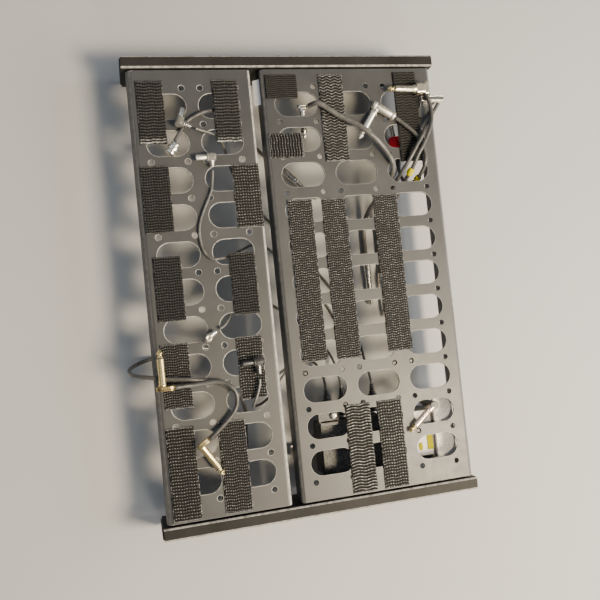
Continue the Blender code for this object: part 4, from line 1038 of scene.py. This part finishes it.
def phone_pin(name, tip, base, metal, tip_metal, slot, radius=PIN_R, collar=4.1, collar_long=4.0):
    """A two-contact phone plug's pin, from its tip to its base: arrow tip, black ring, sleeve and collar."""
    towards = Vector(base) - Vector(tip)
    long = towards.length
    share = radius / PIN_R
    neck = long - collar_long
    arrow = [
        (0, 0), (0.1, 0.5), (0.5, 0.95), (3.3, 3.0), (3.7, 3.05), (4.0, 2.8),
        (5.2, 1.75), (5.9, 1.75), (6.6, 2.5), (7.3, 2.75), (7.6, 2.75), (7.6, 0),
    ]
    ring = [(7.4, 0), (7.4, 3.0), (8.6, 3.05), (8.6, 0)]
    sleeve = [
        (8.4, 0), (8.4, radius * 0.97), (8.7, radius), (neck, radius),
        (neck, collar * 0.94), (neck + 0.4, collar), (long, collar), (long, 0),
    ]
    parts = (
        ("tip", [(along, across * share) for along, across in arrow], tip_metal, 0.15),
        ("ring", [(along, across * share) for along, across in ring], BLACK, 0.1),
        ("sleeve", sleeve, metal, 0.12),
    )
    return [
        lathe_piece(f"{name}_{part}", tip, towards, profile, look, round_by=round_by, slot=slot)
        for part, profile, look, round_by in parts
    ]


def flat_head(name, at, towards, across, size, look, slot):
    """A pancake plug's shallow round-ended head, in two shells with a dark seam between them."""
    place = facing(at, towards, across)
    radius = 0.42 * min(size[0], size[1])
    split = size[2] - 0.34 * size[2]
    parts = (
        ("shell", 0.0, split, 0.0, look, (name,)),
        ("seam", split - 0.1, split + 0.35, 0.35, BLACK, ()),
        ("lid", split + 0.25, size[2], 0.0, look, ()),
    )
    found = []
    for part, low, high, inset, part_look, nodes in parts:
        half_x, half_y = size[0] / 2 - inset, size[1] / 2 - inset
        outline = round_rectangle((-half_x, half_x), (-half_y, half_y), radius - inset, 8)
        found.append(prism_piece(f"{name}_{part}", outline, low, high, part_look, 0.35, place=place,
                                 slot=slot, replaces=nodes))
    return found


def ribbed_relief(name, start, towards, long, root, tip, ribs, look, slot):
    """A tapered strain relief with cut ribs; the cord comes out of its far end."""
    neck = long * 0.28
    step = (long - neck) / ribs
    profile = [(0, 0), (0, root), (neck, root)]
    for number in range(ribs):
        at = neck + number * step
        radius = root + (tip - root) * (number + 0.5) / ribs
        profile += [(at + 0.1 * step, radius * 0.62), (at + 0.45 * step, radius * 0.62)]
        profile += [(at + 0.52 * step, radius), (at + 0.98 * step, radius)]
    profile += [(long, tip * 0.95), (long, 0)]
    return lathe_piece(name, start, towards, profile, look, round_by=0.12, slot=slot)


def smooth_relief(name, start, towards, long, root, tip, look, slot):
    profile = [
        (0, 0), (0, root), (long * 0.3, root * 0.98), (long * 0.75, (root + 2 * tip) / 3),
        (long, tip), (long, 0),
    ]
    return lathe_piece(name, start, towards, profile, look, round_by=0.4, slot=slot)


def dc_plug(node, corner, out, along, barrel_long, relief_long, elbow, barrel, relief):
    """A right-angle DC plug: moulded elbow, open metal barrel, ribbed relief along its lead."""
    corner = Vector(corner)
    out = Vector(out).normalized()
    along = Vector(along).normalized()
    shell = [
        (0, 0), (0, 3.0), (0.8, 3.8), (1.4, 4.05), (6.4, 4.05), (6.7, 3.85),
        (7.2, 3.85), (7.5, 4.0), (8.3, 4.0), (9.0, 3.4), (9.0, 0),
    ]
    end = 9.0 + barrel_long
    tube = [
        (8.8, 0), (8.8, 2.7), (end - 0.3, 2.7), (end, 2.45), (end, 1.75),
        (end - 0.5, 1.6), (end - 0.5, 1.05), (end - 5.0, 1.0), (end - 5.0, 0),
    ]
    base = corner - out * 4.2
    return [
        lathe_piece(node + "_elbow", base, out, shell, elbow, round_by=0.3, slot=DC_PLUG, replaces=(node,)),
        lathe_piece(node + "_barrel", base, out, tube, barrel, round_by=0.12, slot=DC_PLUG),
        ribbed_relief(node + "_relief", corner, along, relief_long, 3.2, 2.2, 4, relief, DC_PLUG),
    ]


def outlet_plug(name, outlet_y):
    """A straight DC plug in one of the supply's outlets."""
    start = (106.0, outlet_y, OUTLET_Z)
    relief_start = (115.6, outlet_y, OUTLET_Z)
    shell = [
        (9.4, 0), (9.4, 3.6), (10.2, 4.5), (12.0, 4.6), (13.0, 4.35),
        (20.0, 4.35), (21.0, 4.6), (26.4, 4.6), (27.0, 4.2), (27.0, 0),
    ]
    tube = [(26.8, 0), (26.8, 2.7), (37.0, 2.7), (37.5, 2.3), (37.5, 1.2), (30.0, 1.1), (30.0, 0)]
    return [
        lathe_piece(name + "_grip", start, (1, 0, 0), shell, SLEEVE, round_by=0.3, slot=DC_PLUG),
        lathe_piece(name + "_barrel", start, (1, 0, 0), tube, SILVER, round_by=0.12, slot=DC_PLUG),
        ribbed_relief(name + "_relief", relief_start, (-1, 0, 0), 9.6, 3.1, 1.9, 4, SLEEVE, DC_PLUG),
    ]


def floor_plug(name, start, heading, cord_r, boot=SILVER, fat=1.0, long=24.6, dome=0.6):
    """A straight phone plug lying on the surface that the board stands on, at a cord's lower end."""
    towards = Vector((heading[0], heading[1], 0.0)).normalized()
    cord_end = Vector(start) - towards
    back = Vector((cord_end.x, cord_end.y, 3.8 * fat))
    root = back + towards * 8.0
    bend = cord_end - root
    grip = [(7.0, 0), (7.0, 2.9), (7.8, 3.2), (12.0, 3.7 * fat), (long - dome, 3.75 * fat)]
    grip += [(long - 0.4 * dome, 3.65 * fat), (long, 3.5 * fat - 0.35 * dome), (long, 0)]
    return [
        smooth_relief(name + "_relief", root, bend, bend.length, 2.9, cord_r + 0.35, SLEEVE, SILVER_PLUG),
        lathe_piece(name + "_grip", back, towards, grip, boot, round_by=0.3, slot=SILVER_PLUG),
        *phone_pin(name, back + towards * (long + 29.9), back + towards * (long - 0.6), SILVER, SILVER,
                   SILVER_PLUG, FLOOR_PIN_R, 3.4, 3.0),
    ]


cord_pieces = {name: [] for name in ROUTES}

# Each lead's right-angle plug: its corner, the way of its barrel, the way of its lead, the lengths of
# barrel and relief, and the looks of its elbow, barrel and relief
DC_PLUGS = (
    ((-153.8, -105.2, 63.2), (-0.92, 0.3, -0.3), (0.42, 0.9, -0.06), 9.5, 11.0, ELBOW, SILVER, SILVER),
    ((-121.2, -79.0, 60.6), (0, -1, 0), (1, 0, -0.15), 9.5, 9.0, ELBOW, WHITE_METAL, SILVER),
    ((43.0, -98.2, 60.6), (0, 0, 1), (-0.54, 0.84, -0.08), 7.5, 9.4, ELBOW, WHITE_METAL, SILVER),
    ((69.0, -54.8, 62.9), (0, -1, 0), (1, 0.02, -0.14), 10.0, 11.0, SLEEVE, BLACK_STEEL, DARK_METAL),
)
for number, plug in enumerate(DC_PLUGS, 1):
    cord_pieces[f"dc_lead_{number}"] += dc_plug(f"dc_plug_{number}", *plug)
for lead in [name for name in ROUTES if name.startswith("dc")]:
    cord_pieces[lead] += outlet_plug(lead + "_outlet_plug", ROUTES[lead][-1][1])

# Plug with a ribbed round head, its pin down in a slot
head_axis = Vector((-0.78, 0.62, 0.0)).normalized()
head_start = Vector((-130.0, -112.8, 61.0)) - head_axis * 6.2
ribs = [
    (0, 0), (0, 4.0), (0.5, 4.7), (2.4, 4.8), (2.7, 3.6), (3.7, 3.6), (4.0, 5.3), (7.6, 5.3),
    (7.9, 3.5), (8.8, 3.5), (9.1, 4.6), (10.8, 4.4), (11.2, 2.8), (13.0, 2.3), (13.0, 0),
]
cord_pieces["patch_cord_1"] += [
    lathe_piece("patch_plug_1_head", head_start, head_axis, ribs, SILVER, slot=SILVER_PLUG,
                replaces=("patch_plug_1",)),
    *phone_pin("patch_plug_1", (-130.0, -112.8, 22.6), (-130.0, -112.8, 57.6), SILVER, SILVER,
               SILVER_PLUG),
]

# Two flat-headed plugs on one cord
pin_axis = Vector((137.6 - 165.5, -113.0 + 95.0, -2.0)).normalized()
cord_pieces["patch_cord_2"] += [
    *phone_pin("patch_plug_2", (48.5, -141.5, 66.0), (81.2, -141.5, 66.0), GOLD, GOLD, GOLD_PLUG,
               collar=3.6, collar_long=2.0),
    *flat_head("patch_plug_2", (81.0, -139.0, 66.0), (1, 0, 0), (0, 1, 0), (17.0, 12.0, 4.0),
               OLD_GOLD, GOLD_PLUG),
    smooth_relief("patch_plug_2_relief", (83.0, -131.2, 66.0), (0.0, 1.0, -0.17), 8.5, 2.5, 2.15,
                  SLEEVE, GOLD_PLUG),
    *phone_pin("patch_plug_3", (165.5, -95.0, 62.2), (137.6, -113.0, 60.2), GOLD, GOLD, GOLD_PLUG,
               collar=3.6, collar_long=2.0),
    *flat_head("patch_plug_3", (137.4, -109.6, 60.2), pin_axis, (-0.55, 0.83, 0.0), (13.5, 12.0, 4.0),
               GOLD, GOLD_PLUG),
    smooth_relief("patch_plug_3_relief", (132.6, -104.4, 60.2), (-0.62, 0.78, 0.05), 10.0, 2.6, 2.15,
                  SLEEVE, GOLD_PLUG),
]

# Plug with a stepped head
head_place = facing((-180.3, 128.4, 63.2), (0, 1, 0), (1, 0, 0))
stepped = round_rectangle((-5.2, 5.2), (-4.4, 4.4), 2.0)
end_plate = round_rectangle((-6.4, 6.4), (-4.6, 4.6), 1.6)
cord_pieces["patch_cord_4"] += [
    prism_piece("patch_plug_4_head", stepped, 0.0, 8.6, CREAM_GOLD, 0.5, place=head_place, slot=GOLD_PLUG,
                replaces=("patch_plug_4",)),
    prism_piece("patch_plug_4_end", end_plate, 8.4, 11.8, CREAM_GOLD, 0.5, place=head_place, slot=GOLD_PLUG),
    *phone_pin("patch_plug_4", (-181.0, 98.5, 63.2), (-180.3, 129.0, 63.2), CREAM_GOLD, GOLD, GOLD_PLUG),
    smooth_relief("patch_plug_4_relief", (-175.6, 138.2, 64.4), (0.95, 0.26, 0.02), 7.0, 2.6, 2.1,
                  SLEEVE, GOLD_PLUG),
]

# Plug with a long ringed handle
handle = [
    (0, 0), (0, 3.2), (0.5, 4.1), (3.2, 4.3), (3.6, 3.8), (4.4, 3.8), (4.8, 4.0),
    (20.4, 4.0), (20.8, 3.6), (21.4, 3.6), (21.8, 4.4), (24.4, 4.3), (25.5, 3.0), (25.5, 0),
]
collar = [(0, 0), (0, 3.6), (5.6, 3.6), (5.8, 4.3), (6.8, 4.3), (7.0, 0)]
pin_way = Vector((0.82, -0.57, 0.0)).normalized()
pin_from = Vector((-163.0, 85.8, 60.0))
cord_pieces["patch_cord_5"] += [
    lathe_piece("patch_plug_5_handle", (-167.0, 82.6, 61.1), Vector((0.53, 0.85, 0.0)).normalized(), handle,
                WHITE_METAL, slot=SILVER_PLUG, replaces=("patch_plug_5",)),
    lathe_piece("patch_plug_5_collar", pin_from, pin_way, collar, WHITE_METAL, round_by=0.15,
                slot=SILVER_PLUG),
    *phone_pin("patch_plug_5", pin_from + pin_way * 35.5, pin_from + pin_way * 3.0, WHITE_METAL,
               WHITE_METAL, SILVER_PLUG, collar=3.6, collar_long=2.0),
]

# Plug with an upright handle
handle_up = [
    (0, 0), (0, 2.4), (1.0, 3.2), (3.0, 4.0), (4.0, 4.2), (20.4, 4.2),
    (20.8, 3.8), (21.4, 3.8), (21.8, 4.3), (23.6, 4.1), (24.0, 3.4), (24.0, 0),
]
pin_way = Vector((0.64, -0.77, 0.0)).normalized()
pin_from = Vector((130.0, 113.0, 59.4))
cord_pieces["patch_cord_4"] += [
    lathe_piece("patch_plug_6_handle", (130.0, 113.0, 37.6), (0, 0, 1), handle_up, SLEEVE, slot=GOLD_PLUG,
                replaces=("patch_plug_6",)),
    *phone_pin("patch_plug_6", pin_from + pin_way * 35.5, pin_from + pin_way * 2.0, COPPER, GOLD, GOLD_PLUG,
               collar=3.6, collar_long=5.0),
]

# Plug whose flat head stands on edge past the rear deck, its pin down behind it
head_place = facing((-174.0, 146.4, 59.3), (1, 0, 0), (0, 1, 0))
block = round_rectangle((-12.5, 12.5), (-2.5, 2.5), 1.2)
plate = round_rectangle((-12.5, 12.5), (-2.6, 2.6), 1.2)
cord_pieces["patch_cord_6"] += [
    prism_piece("patch_plug_7_head", block, 0.6, 4.4, DARK_METAL, 0.35, place=head_place, slot=SILVER_PLUG,
                replaces=("patch_plug_7",)),
    prism_piece("patch_plug_7_plate_1", plate, 0.0, 0.7, WHITE_METAL, 0.2, 2, head_place, slot=SILVER_PLUG),
    prism_piece("patch_plug_7_plate_2", plate, 4.3, 5.0, WHITE_METAL, 0.2, 2, head_place, slot=SILVER_PLUG),
    *phone_pin("patch_plug_7", (-171.5, 155.0, 27.0), (-171.5, 155.0, 57.5), SILVER, SILVER, SILVER_PLUG,
               radius=2.35, collar=2.5),
]

# Flat-headed plug down in a slot, its pin under the rear deck
pin_axis = Vector((-31.0, 0.0, 1.5)).normalized()
cord_pieces["patch_cord_7"] += [
    *flat_head("patch_plug_8", (-167.8, 15.0, 47.0), pin_axis, (0, 1, 0), (11.0, 8.0, 3.4), SILVER,
               SILVER_PLUG),
    *phone_pin("patch_plug_8", (-138.0, 15.0, 45.5), (-169.0, 15.0, 47.0), SILVER, SILVER, SILVER_PLUG,
               collar=3.6),
]

# Plugs at the cords' lower ends: cord, which end, the cord's last point, heading, cord radius and, where
# they differ, the grip's look, thickness, length and dome
for cord, end, *plug in (
    ("patch_cord_1", "", (-125.0, -5.0, 2.4), (0.7, 0.7), 1.7),
    ("patch_cord_3", "front_", (56.0, -130.0, 2.4), (-0.1, 1.0), 1.9),
    ("patch_cord_3", "rear_", (152.0, -64.0, 2.4), (0.8, -0.45), 1.9),
    ("patch_cord_5", "", (-120.0, 128.0, 2.6), (-1.0, -0.12), 1.9, RED, 1.6, 30.5, 3.0),
    ("patch_cord_6", "", (-12.0, 94.5, 2.4), (1.0, 0.0), 1.9),
    ("patch_cord_7", "", (-27.0, 80.0, 3.0), (1.0, 0.0), 2.5),
):
    cord_pieces[cord] += floor_plug(f"{cord}_{end}floor_plug", *plug)


def marker_sleeve(cord, at, long):
    """A yellow sleeve pushed onto a cord, at the point of its route nearest to at."""
    points = smooth_route(ROUTES[cord], 1.0)[0]
    nearest = min(range(2, len(points) - 2), key=lambda number: (points[number] - Vector(at)).length)
    towards = points[nearest + 2] - points[nearest - 2]
    radius = CORD_SIZES[cord] / 2
    profile = [
        (0, 0), (0, radius + 0.5), (1.0, radius + 1.3), (long - 2.0, radius + 1.3),
        (long, radius + 0.4), (long, 0),
    ]
    start = points[nearest] - towards.normalized() * long / 2
    return lathe_piece(cord + "_marker", start, towards, profile, YELLOW, round_by=0.4, slot="cord_jacket")


cord_pieces["patch_cord_4"].append(marker_sleeve("patch_cord_4", (-100.2, 117.6, 54.0), 8.0))
cord_pieces["patch_cord_5"].append(marker_sleeve("patch_cord_5", (-96.0, 129.0, 44.5), 7.0))

for name, cord in CORDS.items():
    route = ROUTES[name]


# Floor and light

bm = bmesh.new()
bmesh.ops.create_grid(bm, x_segments=1, y_segments=1, size=4.0)
floor = bpy.data.objects.new("floor", mesh_of("floor", bm))
bpy.context.scene.collection.objects.link(floor)
floor_look = Graph("floor_card", 0.75)
floor_look.colour(floor_look.mix(floor_look.noise(3.0, 2.0), (0.42, 0.42, 0.416), (0.45, 0.45, 0.446)))
floor.data.materials.append(floor_look.material)


def lamp(name, kind, at, aim, power, colour):
    """A lamp of one kind at a point, aimed at another, in metres; returns its data."""
    made = bpy.data.objects.new(name, bpy.data.lights.new(name, kind))
    bpy.context.scene.collection.objects.link(made)
    made.data.energy = power
    made.data.color = colour
    made.location = at
    made.rotation_mode = "QUATERNION"
    made.rotation_quaternion = (Vector(aim) - Vector(at)).to_track_quat("-Z", "Y")
    return made.data


def softbox(name, at, aim, size, power, colour):
    box = lamp(name, "AREA", at, aim, power, colour)
    box.shape = "RECTANGLE"
    box.size, box.size_y = size


BOARD_MIDDLE = (0.0, 0.0, 0.05)
softbox("key_light", (0.43, 0.68, 1.26), (0.13, 0.09, 0.05), (0.42, 0.42), 44.0, (1.0, 0.83, 0.58))
softbox("rear_strip", (0.10, 1.20, 0.85), BOARD_MIDDLE, (1.2, 0.5), 18.0, (1.0, 0.99, 0.97))
softbox("near_strip", (1.35, 0.20, 0.62), BOARD_MIDDLE, (0.35, 1.0), 10.0, (1.0, 0.94, 0.84))
softbox("fill_light", (-0.9, -0.7, 1.3), BOARD_MIDDLE, (1.6, 1.6), 4.5, (0.80, 0.90, 1.0))

# Narrow beam through the rear deck's slots onto the power supply
snoot = lamp("snoot", "SPOT", (0.11, -0.20, 1.05), (0.157, 0.117, 0.04), 52.0, (1.0, 0.86, 0.68))
snoot.spot_size = 0.075
snoot.spot_blend = 0.5
snoot.shadow_soft_size = 0.03

world = bpy.context.scene.world or bpy.data.worlds.new("world")
bpy.context.scene.world = world
world.use_nodes = True
backdrop = world.node_tree.nodes["Background"]
backdrop.inputs["Color"].default_value = (0.80, 0.88, 1.0, 1.0)
backdrop.inputs["Strength"].default_value = 0.24
